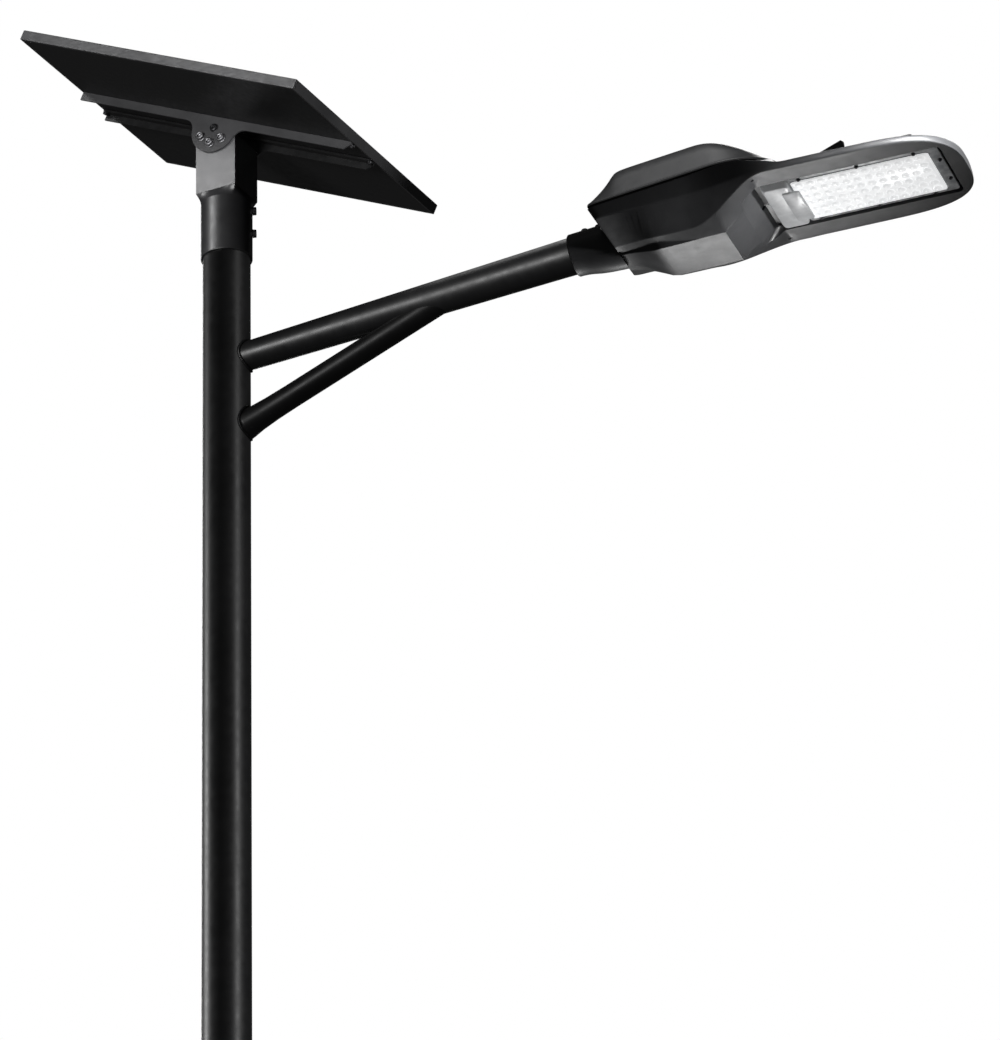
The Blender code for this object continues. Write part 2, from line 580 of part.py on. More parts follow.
# wire way from the battery bay to the LED pocket, and the cable entry behind the spigot socket
bm = bmesh.new()
cyl(bm, "X", (835 - S0, 0, -17), 4, 71, seg=16)
cut(housing, add("wire_way", bm, None, lum, cutter=True))
bm = bmesh.new()
cyl(bm, "X", (630 - S0, 0, -13), 15, 70, seg=24)
cut(housing, add("cable_entry", bm, None, lum, cutter=True))
# frame screw holes
bm = bmesh.new()
for t in (-97, 97):
    cyl(bm, "Z", (905 - S0, t, -80), 2.6, 62, seg=12)
cut(housing, add("frame_screw_holes", bm, None, lum, cutter=True))

# spigot socket: a bored boss that flares into the tub's rear wall
bm = bmesh.new()


def boss(s, r, drop, slant=0.0):
    out = []
    for i in range(32):
        a = 2 * math.pi * i / 32
        t, h = r * math.cos(a), r * math.sin(a)
        if h < 0:
            h = h * (1 + drop / r)
        out.append(lp(s + slant * (13.0 - h), t, h))
    return out


loft(bm, [boss(COLLAR_S, COLLAR_R - 1.5, 0), boss(COLLAR_S + 2, COLLAR_R, 0), boss(COLLAR_S + 14, COLLAR_R, 1), boss(COLLAR_S + 30, COLLAR_R, 7),
          boss(COLLAR_S + 44, COLLAR_R, 11.0), boss(TUB_REAR - 0.8, COLLAR_R, 13, REAR_SLANT)])
socket = add("spigot_socket", bm, MAT["head"], lum, smooth=40)
bm = bmesh.new()
cyl(bm, "X", (COLLAR_S - 20 - S0, 0, 0), COLLAR_BORE_R, 120, seg=48)
cut(socket, add("socket_bore", bm, None, lum, cutter=True))
bm = bmesh.new()
for s in (608, 631):
    cyl(bm, "Z", (s - S0, 0, 20), 4.3, 40, seg=16)
cut(socket, add("clamp_bolt_holes", bm, None, lum, cutter=True))
for n, s in enumerate((608, 631)):
    bm = bmesh.new()
    prof = [(ARM_SPIGOT_R + 0.3, 4.0), (COLLAR_R + 0.5, 4.0), (COLLAR_R + 0.5, 5.6), (COLLAR_R + 6.8, 5.6), (COLLAR_R + 7.4, 4.8)]
    loft(bm, [[(s - S0 + r * math.cos(math.radians(30 * j)), r * math.sin(math.radians(30 * j)), z)
               for j in range(12)] for z, r in prof])
    add("spigot_clamp_bolt_%d" % (n + 1), bm, MAT["zinc"], lum)

# battery and charge controller in the tub
bm = bmesh.new()
box(bm, 736 - S0, 826 - S0, -46, 46, -38, 2)
bat = add("battery_pack", bm, MAT["cell"], lum)
bevel(bat, 3.0, 1)
bm = bmesh.new()
box(bm, 704 - S0, 731 - S0, -44, 44, -34, -12)
con = add("charge_controller", bm, MAT["plastic"], lum)
bevel(con, 1.5, 1)

# LED board, lens, seal and driver cover in the pocket
LEN0, LEN1, LENW = 950.0, 1188.0, 68.0


def slab(bm, s0, s1, w, d0, d1, c=6.0):
    rings = []
    for d in (d0, d1):
        ring_pts = [(s0 + c, -w), (s1 - c, -w), (s1, -w + c), (s1, w - c), (s1 - c, w), (s0 + c, w), (s0, w - c), (s0, -w + c)]
        rings.append([lp(s, t, head_h(s) + d) for s, t in ring_pts])
    loft(bm, rings)


bm = bmesh.new()
slab(bm, LEN0, LEN1, LENW, 7.0, 8.6)
add("led_board", bm, MAT["white"], lum)
bm = bmesh.new()
slab(bm, LEN0, LEN1, LENW, 5.4, 6.7)
seal = add("lens_gasket", bm, MAT["rubber"], lum)
bm = bmesh.new()
slab(bm, LEN0 + 6, LEN1 - 6, LENW - 6, -2.0, 12.0)
cut(seal, add("gasket_window", bm, None, lum, cutter=True))
bm = bmesh.new()
slab(bm, LEN0, LEN1, LENW, 0.5, 5.1)
lens = add("lens_plate", bm, MAT["lens"], lum)
bm = bmesh.new()
slab(bm, 906, LEN0 - 0.5, 64, -5.0, 8.4, 3.0)
dc = add("driver_cover", bm, MAT["lens"], lum)
bevel(dc, 2.0, 1)

SCREWS = [(968, -63), (1060, -63), (1150, -63), (968, 63), (1060, 63), (1150, 63), (1183, -30), (1183, 30)]
bm = bmesh.new()
for s, t in SCREWS:
    cyl(bm, "Z", (s - S0, t, head_h(s) - 6), 1.9, 12.6, seg=10)
sh = add("lens_screw_holes", bm, None, lum, cutter=True)
cut(lens, sh)
cut(seal, sh)
for n, (s, t) in enumerate(SCREWS[:8]):
    bm = bmesh.new()
    z = head_h(s)
    prof = [(z - 2.2, 2.4), (z - 1.6, 3.2), (z + 0.05, 3.2), (z + 0.05, 1.6), (z + 6.2, 1.6)]
    loft(bm, [[(s - S0 + r * math.cos(2 * math.pi * j / 10), t + r * math.sin(2 * math.pi * j / 10), zz) for j in range(10)] for zz, r in prof])
    add("lens_screw_%d" % (n + 1), bm, MAT["steel"], lum, smooth=40)

# heat sink on top of the head: base plate with fins, the outer pair wedge shaped
bm = bmesh.new()
HS0, HS1 = 985.0, 1172.0
fins = []
FW, FH, BASE = 3.0, 9.0, 3.0
pts = []
n = 8
W = 84.0
pts = [(-W, 0.0), (W, 0.0), (W, BASE)]
for i in range(n):
    c = W - 7 - i * (2 * W - 14) / (n - 1)
    pts += [(c + FW / 2, BASE), (c + FW / 2 - 0.5, BASE + FH), (c - FW / 2 + 0.5, BASE + FH), (c - FW / 2, BASE)]
pts += [(-W, BASE)]
loft(bm, [[lp(s, t, head_h(s) + 17.4 + z) for t, z in pts] for s in (HS0, HS1)])
hs = add("heat_sink", bm, MAT["head"], lum)
bm = bmesh.new()
z0 = head_h(HS0) + 17.4 + BASE
prof = [(HS0 - 10, z0), (HS0 - 10, z0 + 40), (HS0 + 26, z0 + 40), (HS0 + 26, z0 + FH)]
loft(bm, [[lp(s, t, h) for s, h in prof] for t in (-120, 120)])
cut(hs, add("fin_run_in", bm, None, lum, cutter=True))
bm = bmesh.new()
PL = plan_half
# trim the heat sink to the head's rounded plan
ring_lo, ring_hi = [], []
for i in range(25):
    a = math.radians(-90 + 180 * i / 24)
    ring_lo.append((1060 + 138 * abs(math.cos(a)) ** 0.77, 92 * math.copysign(abs(math.sin(a)) ** 0.77, math.sin(a))))
ring_lo = [(900, -92)] + ring_lo + [(900, 92)]
loft(bm, [[lp(s, t, -150) for s, t in ring_lo], [lp(s, t, 100) for s, t in ring_lo]])
cut(hs, add("heat_sink_plan", bm, None, lum, cutter=True), 'INTERSECT')
for k, t in enumerate((-81.0, 81.0)):
    bm = bmesh.new()
    b0, b1 = head_h(HS0 + 1) + 17.9, head_h(1050) + 17.9
    prof = [(HS0 + 1, b0), (1052, b1), (1052, 3.0), (1048, 7.0), (HS0 + 1, b0 + 1.6)]
    loft(bm, [[lp(s, tt, h) for s, h in prof] for tt in (t - 2.0, t + 2.0)])
    cut(hs, add("fin_wedge_%d" % (k + 1), bm, None, lum, cutter=True), 'UNION')

# ---- lid over the battery bay: a domed shell on a seal, with a hinge pin at the front
def lid_top(s):
    x = (s - 626.0) / 60.0
    rise = x if x < 0.86 else 1 - 0.14 * math.exp(-(x - 0.86) / 0.14)
    fall = 1 - smooth(s, 815, 962) ** 1.15
    return seam_h(s) + 4 + 62.5 * rise * fall


def lid_section(s):
    kr = rear_round(s, 14)
    w = lid_half(s) * kr
    base = seam_h(s) + 4.4
    top = lid_top(s)
    rise = max(0.6, top - base - 4)
    half = [(w, base), (w + 0.6, base + 3.0), (max(0.3, w - 1.2), base + 5.0), (max(0.2, w * 0.9 - 4), base + 5 + rise * 0.72),
            (max(0.1, w * 0.84 - 8), base + 5 + rise * 0.97), (max(0.05, w * 0.5), base + 5 + rise * 1.03), (0.0, base + 5 + rise * 1.04)]
    pts = half + [(-t, h) for t, h in reversed(half[:-1])]
    k = 0.30 * (1 - smooth(s, TUB_REAR, 705))
    return [lp(s + k * (h - base), t, h) for t, h in pts]


LID_ST = [642, 646, 651, 657, 664, 676, 692, 715, 750, 790, 820, 838, 855, 872, 888, 903, 916, 927, 936, 942, 945.4]
bm = bmesh.new()
rows = loft(bm, [lid_section(s) for s in LID_ST], closed_ring=False, cap=False)
# close the rear and the front of the dome
for row in (rows[0], rows[-1]):
    bm.faces.new(row)
lid_m = empty("lid_axis", Matrix.Identity(4))
HINGE_S, HINGE_H = 953.0, 25.0
lid_m.parent = lum
lid_m.matrix_local = Matrix.Translation(((HINGE_S - S0) * MM, 0, HINGE_H * MM))
lid = add("battery_lid", bm, MAT["head"], lid_m, smooth=32, loc=(-(HINGE_S - S0) * MM, 0, -HINGE_H * MM))
m = lid.modifiers.new("shell", 'SOLIDIFY')
m.thickness = 2.6 * MM
m.offset = -1.0
m.use_even_offset = False
bm = bmesh.new()
corners = ((600, -150), (1000, -150), (1000, 150), (600, 150))
loft(bm, [[lp(a, t, -30) for a, t in corners], [lp(a, t, seam_h(a) + 4.2) for a, t in corners]])
cut(lid, add("lid_trim", bm, None, lum, cutter=True))
# hinge: a knuckle on the lid's nose between two ears on the casting
bm = bmesh.new()
cyl(bm, "Y", (HINGE_S - S0, -17, HINGE_H), 5.0, 34, seg=20)
knuckle = add("lid_knuckle", bm, None, lum, cutter=True)
bm = bmesh.new()
box(bm, 943.6 - S0, HINGE_S - S0, -17, 17, HINGE_H - 3.0, HINGE_H + 3.0)
web = add("lid_knuckle_web", bm, None, lum, cutter=True)
cut(knuckle, web, 'UNION')
cut(lid, knuckle, 'UNION')
bm = bmesh.new()
cyl(bm, "Y", (HINGE_S - S0, -40, HINGE_H), 2.8, 80, seg=20)
pin_hole = add("pin_hole", bm, None, lum, cutter=True)
cut(lid, pin_hole)
for k, t in enumerate((-22.5, 22.5)):
    bm = bmesh.new()
    prof = [(HINGE_S - 7, -14), (HINGE_S + 11, -14), (HINGE_S + 5, HINGE_H)] + arc(HINGE_S, HINGE_H, 5, 0, 180, 6)[1:] + [(HINGE_S - 6, 0)]
    loft(bm, [[lp(s, tt, h) for s, h in prof] for tt in (t - 4.5, t + 4.5)])
    cut(housing, add("hinge_ear_%d" % (k + 1), bm, None, lum, cutter=True), 'UNION')
cut(housing, pin_hole)

# seal between the tub's rim and the lid
bm = bmesh.new()


def seam_loop(inset):
    out = []
    st = [646, 652, 664, 676, 700, 750, 800, 838, 855, 872, 888, 903, 916, 927, 936, 941]
    for s in st:
        out.append((s + inset * 0, lid_half(s) * rear_round(s, 14) - inset))
    pts = [(s, t) for s, t in out]
    pts.append((LID_FRONT - 3 - inset, 0.0))
    pts += [(s, -t) for s, t in reversed(out)]
    return pts


rings = []
o, i_ = seam_loop(1.2), seam_loop(6.0)
i_ = [(min(max(s, 650.0), LID_FRONT - 6), t) for s, t in i_]
cols = []
for (s, t), (s2, t2) in zip(o, i_):
    cols.append([lp(s, t, seam_h(s) + 0.3), lp(s, t, seam_h(s) + 3.7), lp(s2, t2, seam_h(s2) + 3.7), lp(s2, t2, seam_h(s2) + 0.3)])
cols.append(cols[0])
rws = [[bm.verts.new(Vector(p) * MM) for p in c] for c in cols[:-1]]
nn = len(rws)
for a in range(nn):
    b = (a + 1) % nn
    for j in range(4):
        k2 = (j + 1) % 4
        bm.faces.new((rws[a][j], rws[a][k2], rws[b][k2], rws[b][j]))
add("lid_gasket", bm, MAT["rubber"], lum)

bm = bmesh.new()
cyl(bm, "Y", (HINGE_S - S0, -30, HINGE_H), 2.5, 60, seg=14)
add("lid_hinge_pin", bm, MAT["zinc"], lum, smooth=40)

# latch plate on the lid's far side, hinged along the lid
LATCH_S, LATCH_T, LATCH_H = 740.0, 104.2, 33.0
latch_ax = empty("latch_axis", Matrix.Identity(4))
latch_ax.parent = lid_m
latch_ax.matrix_local = Matrix.Translation(((LATCH_S - HINGE_S) * MM, LATCH_T * MM, (LATCH_H - HINGE_H) * MM))
prof = [(-6.6, 2.6), (-6.6, -2.6), (0.6, -2.6), (0.6, -22.0), (-0.6, -27.0), (0.4, -31.0), (3.2, -31.5), (3.4, -22.0), (3.2, 0.0), (1.6, 2.6)]
bm = bmesh.new()
loft(bm, [[(x, t, h) for t, h in prof] for x in (-16, 16)])
add("lid_latch", bm, MAT["zinc"], latch_ax)
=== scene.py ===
import bpy
import bmesh
import json
import math
from mathutils import Matrix, Vector

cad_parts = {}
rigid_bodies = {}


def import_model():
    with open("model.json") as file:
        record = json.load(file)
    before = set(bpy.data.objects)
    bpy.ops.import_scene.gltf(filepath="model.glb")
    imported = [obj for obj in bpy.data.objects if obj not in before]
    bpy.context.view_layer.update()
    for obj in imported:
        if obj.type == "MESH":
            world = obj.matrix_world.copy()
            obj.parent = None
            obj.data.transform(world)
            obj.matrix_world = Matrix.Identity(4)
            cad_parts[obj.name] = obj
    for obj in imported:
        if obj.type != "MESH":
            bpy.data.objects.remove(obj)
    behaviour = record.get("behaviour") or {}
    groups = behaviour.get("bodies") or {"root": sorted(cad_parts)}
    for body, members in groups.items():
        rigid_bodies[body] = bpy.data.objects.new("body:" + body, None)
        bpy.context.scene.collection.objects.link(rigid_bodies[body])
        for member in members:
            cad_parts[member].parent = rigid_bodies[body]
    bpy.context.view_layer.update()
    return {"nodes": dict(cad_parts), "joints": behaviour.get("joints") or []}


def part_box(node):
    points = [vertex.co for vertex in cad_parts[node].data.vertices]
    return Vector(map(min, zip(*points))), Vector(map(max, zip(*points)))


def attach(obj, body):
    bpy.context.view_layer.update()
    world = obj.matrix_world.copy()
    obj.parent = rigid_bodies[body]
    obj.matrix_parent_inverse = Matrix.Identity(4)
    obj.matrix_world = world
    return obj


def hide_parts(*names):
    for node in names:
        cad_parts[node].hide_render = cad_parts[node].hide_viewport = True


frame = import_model()
NODES = frame["nodes"]
JOINT = {j["name"]: j for j in frame["joints"]}
MM = 0.001
scene = bpy.context.scene
scene.view_settings.view_transform = 'Standard'
scene.view_settings.look = 'None'

# ------------------------------------------------------------------ frames of the moving groups
ROLL = JOINT["luminaire_roll"]
AXIS = Vector(ROLL["axis"]).normalized()
CR, SR = AXIS.x, AXIS.z
ARM_Z = (ROLL["pos_m"][2] - ROLL["pos_m"][0] * SR / CR) * 1000.0
PIVOT = Vector(JOINT["panel_tilt"]["pos_m"])
TA = JOINT["panel_tilt"]["axis"]
YAW = math.atan2(-TA[0], TA[1])
TILT = math.radians(25.5)
HEAD_M = Matrix.Rotation(YAW, 4, 'Z')
TILT_M = HEAD_M @ Matrix.Translation(PIVOT) @ Matrix.Rotation(TILT, 4, 'Y')


def W(s, t, h):
    """point at s along the arm's axis, t to the far side and h across it, in mm"""
    return Vector(((s * CR - h * SR) * MM, t * MM, (ARM_Z + s * SR + h * CR) * MM))


def H(x, y, z):
    """point in the panel head's frame, mm"""
    return HEAD_M @ Vector((x * MM, y * MM, z * MM))


def P(p, q, r):
    """point in the tilted panel's frame, mm"""
    return TILT_M @ Vector((p * MM, q * MM, r * MM))


# ------------------------------------------------------------------ camera
AZ, EL, ROLLC, DIST = math.radians(19.0), math.radians(-26.5), math.radians(-1.27488), 9.72
LENS = 212.0
F = LENS / 36.0 * 1040.0
r_ = Vector((math.cos(AZ), math.sin(AZ), 0))
b_ = Vector((math.sin(AZ) * math.cos(EL), -math.cos(AZ) * math.cos(EL), math.sin(EL)))
u_ = b_.cross(r_)
r2 = math.cos(ROLLC) * r_ + math.sin(ROLLC) * u_
u2 = -math.sin(ROLLC) * r_ + math.cos(ROLLC) * u_
dx = (226.7 - 500) / F * DIST
dy = -(257 - 520) / F * DIST
C = Vector((0, 0, 3.0)) - dx * r2 - dy * u2 + DIST * b_
cam = bpy.data.objects.new("camera", bpy.data.cameras.new("camera"))
scene.collection.objects.link(cam)
cam.data.sensor_width = 36.0
cam.data.sensor_fit = 'AUTO'
cam.data.lens = LENS
cam.data.clip_start, cam.data.clip_end = 0.1, 100.0
cam.matrix_world = Matrix(((r2.x, u2.x, b_.x, C.x), (r2.y, u2.y, b_.y, C.y), (r2.z, u2.z, b_.z, C.z), (0, 0, 0, 1)))
scene.camera = cam


# ------------------------------------------------------------------ materials
class Mat:
    def __init__(self, name, colour, rough, metal=0.0, spec=0.5):
        self.m = bpy.data.materials.new(name)
        self.m.use_nodes = True
        self.nt = self.m.node_tree
        self.b = self.nt.nodes["Principled BSDF"]
        self.b.inputs["Base Color"].default_value = (*colour, 1.0)
        self.b.inputs["Roughness"].default_value = rough
        self.b.inputs["Metallic"].default_value = metal
        self.b.inputs["Specular IOR Level"].default_value = spec
        self.colour = colour
        self.rough = rough
        self.tc = self.n("ShaderNodeTexCoord")

    def n(self, kind, **values):
        x = self.nt.nodes.new(kind)
        for k, v in values.items():
            if hasattr(x, k):
                setattr(x, k, v)
            else:
                x.inputs[k.replace("_", " ")].default_value = v
        return x

    def link(self, a, b):
        self.nt.links.new(a, b)

    def noise(self, scale, detail=3.0, rough=0.55, stretch=None, coord="Object"):
        x = self.n("ShaderNodeTexNoise")
        x.inputs["Scale"].default_value = scale
        x.inputs["Detail"].default_value = detail
        x.inputs["Roughness"].default_value = rough
        src = self.tc.outputs[coord]
        if stretch:
            mp = self.n("ShaderNodeMapping")
            mp.inputs["Scale"].default_value = stretch
            self.link(src, mp.inputs["Vector"])
            src = mp.outputs["Vector"]
        self.link(src, x.inputs["Vector"])
        return x.outputs["Fac"]

    def ranged(self, value, a, b, c, d):
        x = self.n("ShaderNodeMapRange")
        x.inputs["From Min"].default_value = a
        x.inputs["From Max"].default_value = b
        x.inputs["To Min"].default_value = c
        x.inputs["To Max"].default_value = d
        self.link(value, x.inputs["Value"])
        return x.outputs["Result"]

    def math(self, op, a, b=None):
        x = self.n("ShaderNodeMath")
        x.operation = op
        for i, v in enumerate((a, b)):
            if v is None:
                continue
            if isinstance(v, (int, float)):
                x.inputs[i].default_value = v
            else:
                self.link(v, x.inputs[i])
        return x.outputs[0]

    def mix(self, fac, a, b):
        x = self.n("ShaderNodeMix")
        x.data_type = 'RGBA'
        for sock, v in ((x.inputs[0], fac), (x.inputs[6], a), (x.inputs[7], b)):
            if isinstance(v, (int, float)):
                sock.default_value = v
            elif isinstance(v, tuple):
                sock.default_value = (*v, 1.0)
            else:
                self.link(v, sock)
        return x.outputs[2]

    def bump(self, height, strength, distance, normal=None):
        x = self.n("ShaderNodeBump")
        x.inputs["Strength"].default_value = strength
        x.inputs["Distance"].default_value = distance
        self.link(height, x.inputs["Height"])
        if normal is not None:
            self.link(normal, x.inputs["Normal"])
        return x.outputs["Normal"]

    def edges(self, radius, lo, hi):
        """0 on flat and smooth ground, 1 on a sharp edge"""
        bv = self.n("ShaderNodeBevel")
        bv.samples = 4
        bv.inputs["Radius"].default_value = radius
        ge = self.n("ShaderNodeNewGeometry")
        vm = self.n("ShaderNodeVectorMath")
        vm.operation = 'DOT_PRODUCT'
        self.link(bv.outputs["Normal"], vm.inputs[0])
        self.link(ge.outputs["Normal"], vm.inputs[1])
        return self.ranged(vm.outputs["Value"], 1.0 - lo, 1.0 - hi, 0.0, 1.0)


def scaled(c, k):
    return tuple(min(1.0, v * k) for v in c)


def paint(name, colour, rough, peel=0.18, fine=700.0, wear=0.35, wear_k=4.0, vary=0.25, spec=0.5):
    """powder coat: orange peel, cloudy gloss, a little dust and rubbed edges"""
    m = Mat(name, colour, rough, spec=spec)
    big = m.noise(5.0, 5.0, 0.6)
    mid = m.noise(60.0, 3.0)
    fin = m.noise(fine, 2.0, 0.5)
    col = m.mix(m.ranged(big, 0.35, 0.65, 0.0, 1.0), scaled(colour, 1 - vary), scaled(colour, 1 + vary))
    dust = m.math('MULTIPLY', m.ranged(m.noise(260.0, 4.0, 0.7), 0.62, 0.75, 0.0, 1.0), m.ranged(big, 0.45, 0.7, 0.0, 0.22))
    col = m.mix(dust, col, scaled(colour, 3.5))
    if wear > 0:
        e = m.math('MULTIPLY', m.edges(0.0011, 0.02, 0.22), m.ranged(m.noise(140.0, 4.0, 0.65), 0.42, 0.62, 0.25 * wear, wear))
        col = m.mix(e, col, scaled(colour, wear_k))
    m.link(col, m.b.inputs["Base Color"])
    rg = m.math('ADD', m.ranged(mid, 0.3, 0.7, rough - 0.05, rough + 0.06), m.ranged(big, 0.3, 0.7, -0.03, 0.03))
    m.link(rg, m.b.inputs["Roughness"])
    m.link(m.bump(fin, peel, 0.0003, m.bump(mid, 0.05, 0.002)), m.b.inputs["Normal"])
    return m


def steel(name, colour, rough, axis=(1, 1, 14), spec=0.5, metal=1.0, coarse=0.1):
    """turned or brushed fastener metal"""
    m = Mat(name, colour, rough, metal, spec)
    fine = m.noise(900.0, 3.0, 0.6, stretch=axis)
    mid = m.noise(120.0, 4.0, 0.6)
    col = m.mix(m.ranged(mid, 0.35, 0.65, 0.0, 1.0), scaled(colour, 0.72), scaled(colour, 1.25))
    e = m.math('MULTIPLY', m.edges(0.0006, 0.02, 0.25), m.ranged(m.noise(300.0, 3.0), 0.4, 0.6, 0.2, 0.9))
    col = m.mix(e, col, scaled(colour, 2.6))
    m.link(col, m.b.inputs["Base Color"])
    m.link(m.ranged(mid, 0.3, 0.7, rough - 0.07, rough + 0.1), m.b.inputs["Roughness"])
    m.link(m.bump(fine, coarse, 0.0002), m.b.inputs["Normal"])
    return m


COAT = paint("m_black_coat", (0.0085, 0.0085, 0.009), 0.40, peel=0.14, wear=0.30, wear_k=6.0)
# the black coat painted lighter for the near rail: painted light standing in for its lit face
NEAR_RAIL_LIT_COAT = paint("m_rail_coat_painted_light", (0.052, 0.052, 0.054), 0.40, peel=0.12, wear=0.30, wear_k=4.0)
BOXC = paint("m_box_coat", (0.080, 0.080, 0.083), 0.34, peel=0.12, wear=0.40, wear_k=3.5)
HEADBOX = paint("m_head_coat", (0.020, 0.020, 0.021), 0.36, peel=0.12, wear=0.40, wear_k=6.0)
CAST = paint("m_graphite_casting", (0.030, 0.0305, 0.032), 0.44, peel=0.30, fine=520.0, wear=0.35, wear_k=3.5)
LIDM = paint("m_lid_casting", (0.030, 0.0305, 0.032), 0.42, peel=0.26, fine=520.0, wear=0.35, wear_k=3.5)
DARK = steel("m_dark_steel", (0.11, 0.11, 0.115), 0.34)
BLACKBOLT = steel("m_black_bolt", (0.035, 0.035, 0.037), 0.38, metal=0.8)
ZINC = steel("m_zinc_steel", (0.50, 0.51, 0.53), 0.30)
WASHER = steel("m_washer_steel", (0.26, 0.26, 0.27), 0.38)


def anodised():
    m = Mat("m_black_anodised", (0.050, 0.050, 0.052), 0.36, 0.4)
    grain = m.noise(500.0, 3.0, 0.6, stretch=(0.05, 1, 1))
    big = m.noise(9.0, 4.0)
    col = m.mix(m.ranged(big, 0.35, 0.65, 0.0, 1.0), (0.044, 0.044, 0.046), (0.066, 0.066, 0.068))
    e = m.math('MULTIPLY', m.edges(0.0006, 0.02, 0.25), m.ranged(m.noise(200.0, 3.0), 0.42, 0.6, 0.1, 0.7))
    m.link(m.mix(e, col, (0.16, 0.16, 0.165)), m.b.inputs["Base Color"])
    m.link(m.ranged(grain, 0.3, 0.7, 0.30, 0.44), m.b.inputs["Roughness"])
    m.link(m.bump(grain, 0.06, 0.0002), m.b.inputs["Normal"])
    return m


ANOD = anodised()


def moulded(name, colour, rough, fine=600.0, peel=0.2):
    m = Mat(name, colour, rough)
    mid = m.noise(80.0, 3.0)
    fin = m.noise(fine, 2.0)
    m.link(m.mix(m.ranged(mid, 0.35, 0.65, 0.0, 1.0), scaled(colour, 0.85), scaled(colour, 1.2)), m.b.inputs["Base Color"])
    m.link(m.ranged(mid, 0.3, 0.7, rough - 0.05, rough + 0.06), m.b.inputs["Roughness"])
    m.link(m.bump(fin, peel, 0.00025), m.b.inputs["Normal"])
    return m


BACK = moulded("m_backsheet", (0.009, 0.009, 0.0095), 0.42, fine=300.0, peel=0.05)
PLASTIC = moulded("m_black_plastic", (0.012, 0.012, 0.0125), 0.5)
RUBBER = moulded("m_seal_rubber", (0.006, 0.006, 0.006), 0.75, fine=900.0, peel=0.3)
BOARD = moulded("m_white_board", (0.80, 0.81, 0.82), 0.35, fine=400.0, peel=0.06)
WRAP = moulded("m_battery_wrap", (0.02, 0.085, 0.27), 0.28, fine=60.0, peel=0.25)
WIRE_R = moulded("m_wire_red", (0.35, 0.01, 0.01), 0.4, peel=0.05)
WIRE_K = moulded("m_wire_black", (0.01, 0.01, 0.01), 0.4, peel=0.05)


def lens_mats():
    # lit diffuser: white, a little darker in the valleys between its optics
    m = Mat("m_lit_lens", (0.93, 0.94, 0.95), 0.22)
    cl = m.noise(38.0, 4.0, 0.6)
    fi = m.noise(240.0, 3.0, 0.6)
    k = m.math('MULTIPLY', m.ranged(cl, 0.35, 0.65, 0.86, 1.06), m.ranged(fi, 0.3, 0.7, 0.96, 1.03))
    em = m.mix(m.ranged(k, 0.8, 1.1, 0.0, 1.0), (0.80, 0.81, 0.82), (1.0, 1.0, 1.0))
    m.link(em, m.b.inputs["Emission Color"])
    m.b.inputs["Emission Strength"].default_value = 0.62
    m.link(m.bump(fi, 0.2, 0.0004), m.b.inputs["Normal"])
    # clear flange: thin polycarbonate with cloudy edges, see-through
    g = Mat("m_clear_flange", (0.80, 0.81, 0.82), 0.16)
    cl = g.noise(60.0, 4.0)
    g.link(g.ranged(cl, 0.3, 0.7, 0.62, 0.92), g.b.inputs["Alpha"])
    g.link(g.mix(g.ranged(cl, 0.35, 0.65, 0.0, 1.0), (0.42, 0.43, 0.44), (0.66, 0.67, 0.68)), g.b.inputs["Base Color"])
    g.b.inputs["Emission Color"].default_value = (0.8, 0.81, 0.82, 1)
    g.b.inputs["Emission Strength"].default_value = 0.02
    g.link(g.bump(g.noise(180.0, 2.0), 0.15, 0.0004), g.b.inputs["Normal"])
    # driver cover: milky clear block with a painted glow, its emission standing in for light falling on it
    d = Mat("m_driver_cover", (0.80, 0.81, 0.82), 0.25)
    cl = d.noise(30.0, 4.0)
    d.link(d.mix(d.ranged(cl, 0.35, 0.65, 0.0, 1.0), (0.46, 0.47, 0.48), (0.70, 0.71, 0.72)), d.b.inputs["Base Color"])
    d.b.inputs["Emission Color"].default_value = (0.9, 0.91, 0.92, 1)
    d.b.inputs["Emission Strength"].default_value = 0.10
    d.link(d.bump(d.noise(160.0, 2.0), 0.12, 0.0004), d.b.inputs["Normal"])
    return m, g, d


LIT, FLANGE, DRIVER = lens_mats()


def cell_mats():
    # one cell: fingers and busbars over blue-black silicon; UV runs 0-1 over each cell
    m = Mat("m_solar_cell", (0.008, 0.012, 0.030), 0.22)
    sep = m.n("ShaderNodeSeparateXYZ")
    m.link(m.tc.outputs["UV"], sep.inputs[0])
    u, v = sep.outputs[0], sep.outputs[1]
    fu = m.math('FRACT', m.math('MULTIPLY', u, 5.0))
    bus = m.math('LESS_THAN', m.math('ABSOLUTE', m.math('SUBTRACT', fu, 0.5)), 0.035)
    fv = m.math('FRACT', m.math('MULTIPLY', v, 60.0))
    fin = m.math('LESS_THAN', m.math('ABSOLUTE', m.math('SUBTRACT', fv, 0.5)), 0.10)
    big = m.noise(14.0, 3.0)
    base = m.mix(m.ranged(big, 0.35, 0.65, 0.0, 1.0), (0.006, 0.009, 0.024), (0.012, 0.018, 0.042))
    base = m.mix(m.math('MULTIPLY', fin, 0.30), base, (0.20, 0.22, 0.26))
    base = m.mix(bus, base, (0.42, 0.43, 0.45))
    m.link(base, m.b.inputs["Base Color"])
    m.b.inputs["Coat Weight"].default_value = 1.0
    m.b.inputs["Coat Roughness"].default_value = 0.04
    m.link(m.ranged(m.noise(300.0, 2.0), 0.3, 0.7, 0.18, 0.30), m.b.inputs["Roughness"])
    s = Mat("m_solar_laminate", (0.008, 0.008, 0.009), 0.25)
    s.b.inputs["Coat Weight"].default_value = 1.0
    s.b.inputs["Coat Roughness"].default_value = 0.04
    n2 = s.noise(40.0, 3.0)
    s.link(s.mix(s.ranged(n2, 0.35, 0.65, 0.0, 1.0), (0.006, 0.006, 0.007), (0.012, 0.012, 0.013)), s.b.inputs["Base Color"])
    s.link(s.ranged(n2, 0.3, 0.7, 0.2, 0.3), s.b.inputs["Roughness"])
    return m, s


CELL, LAMINATE = cell_mats()


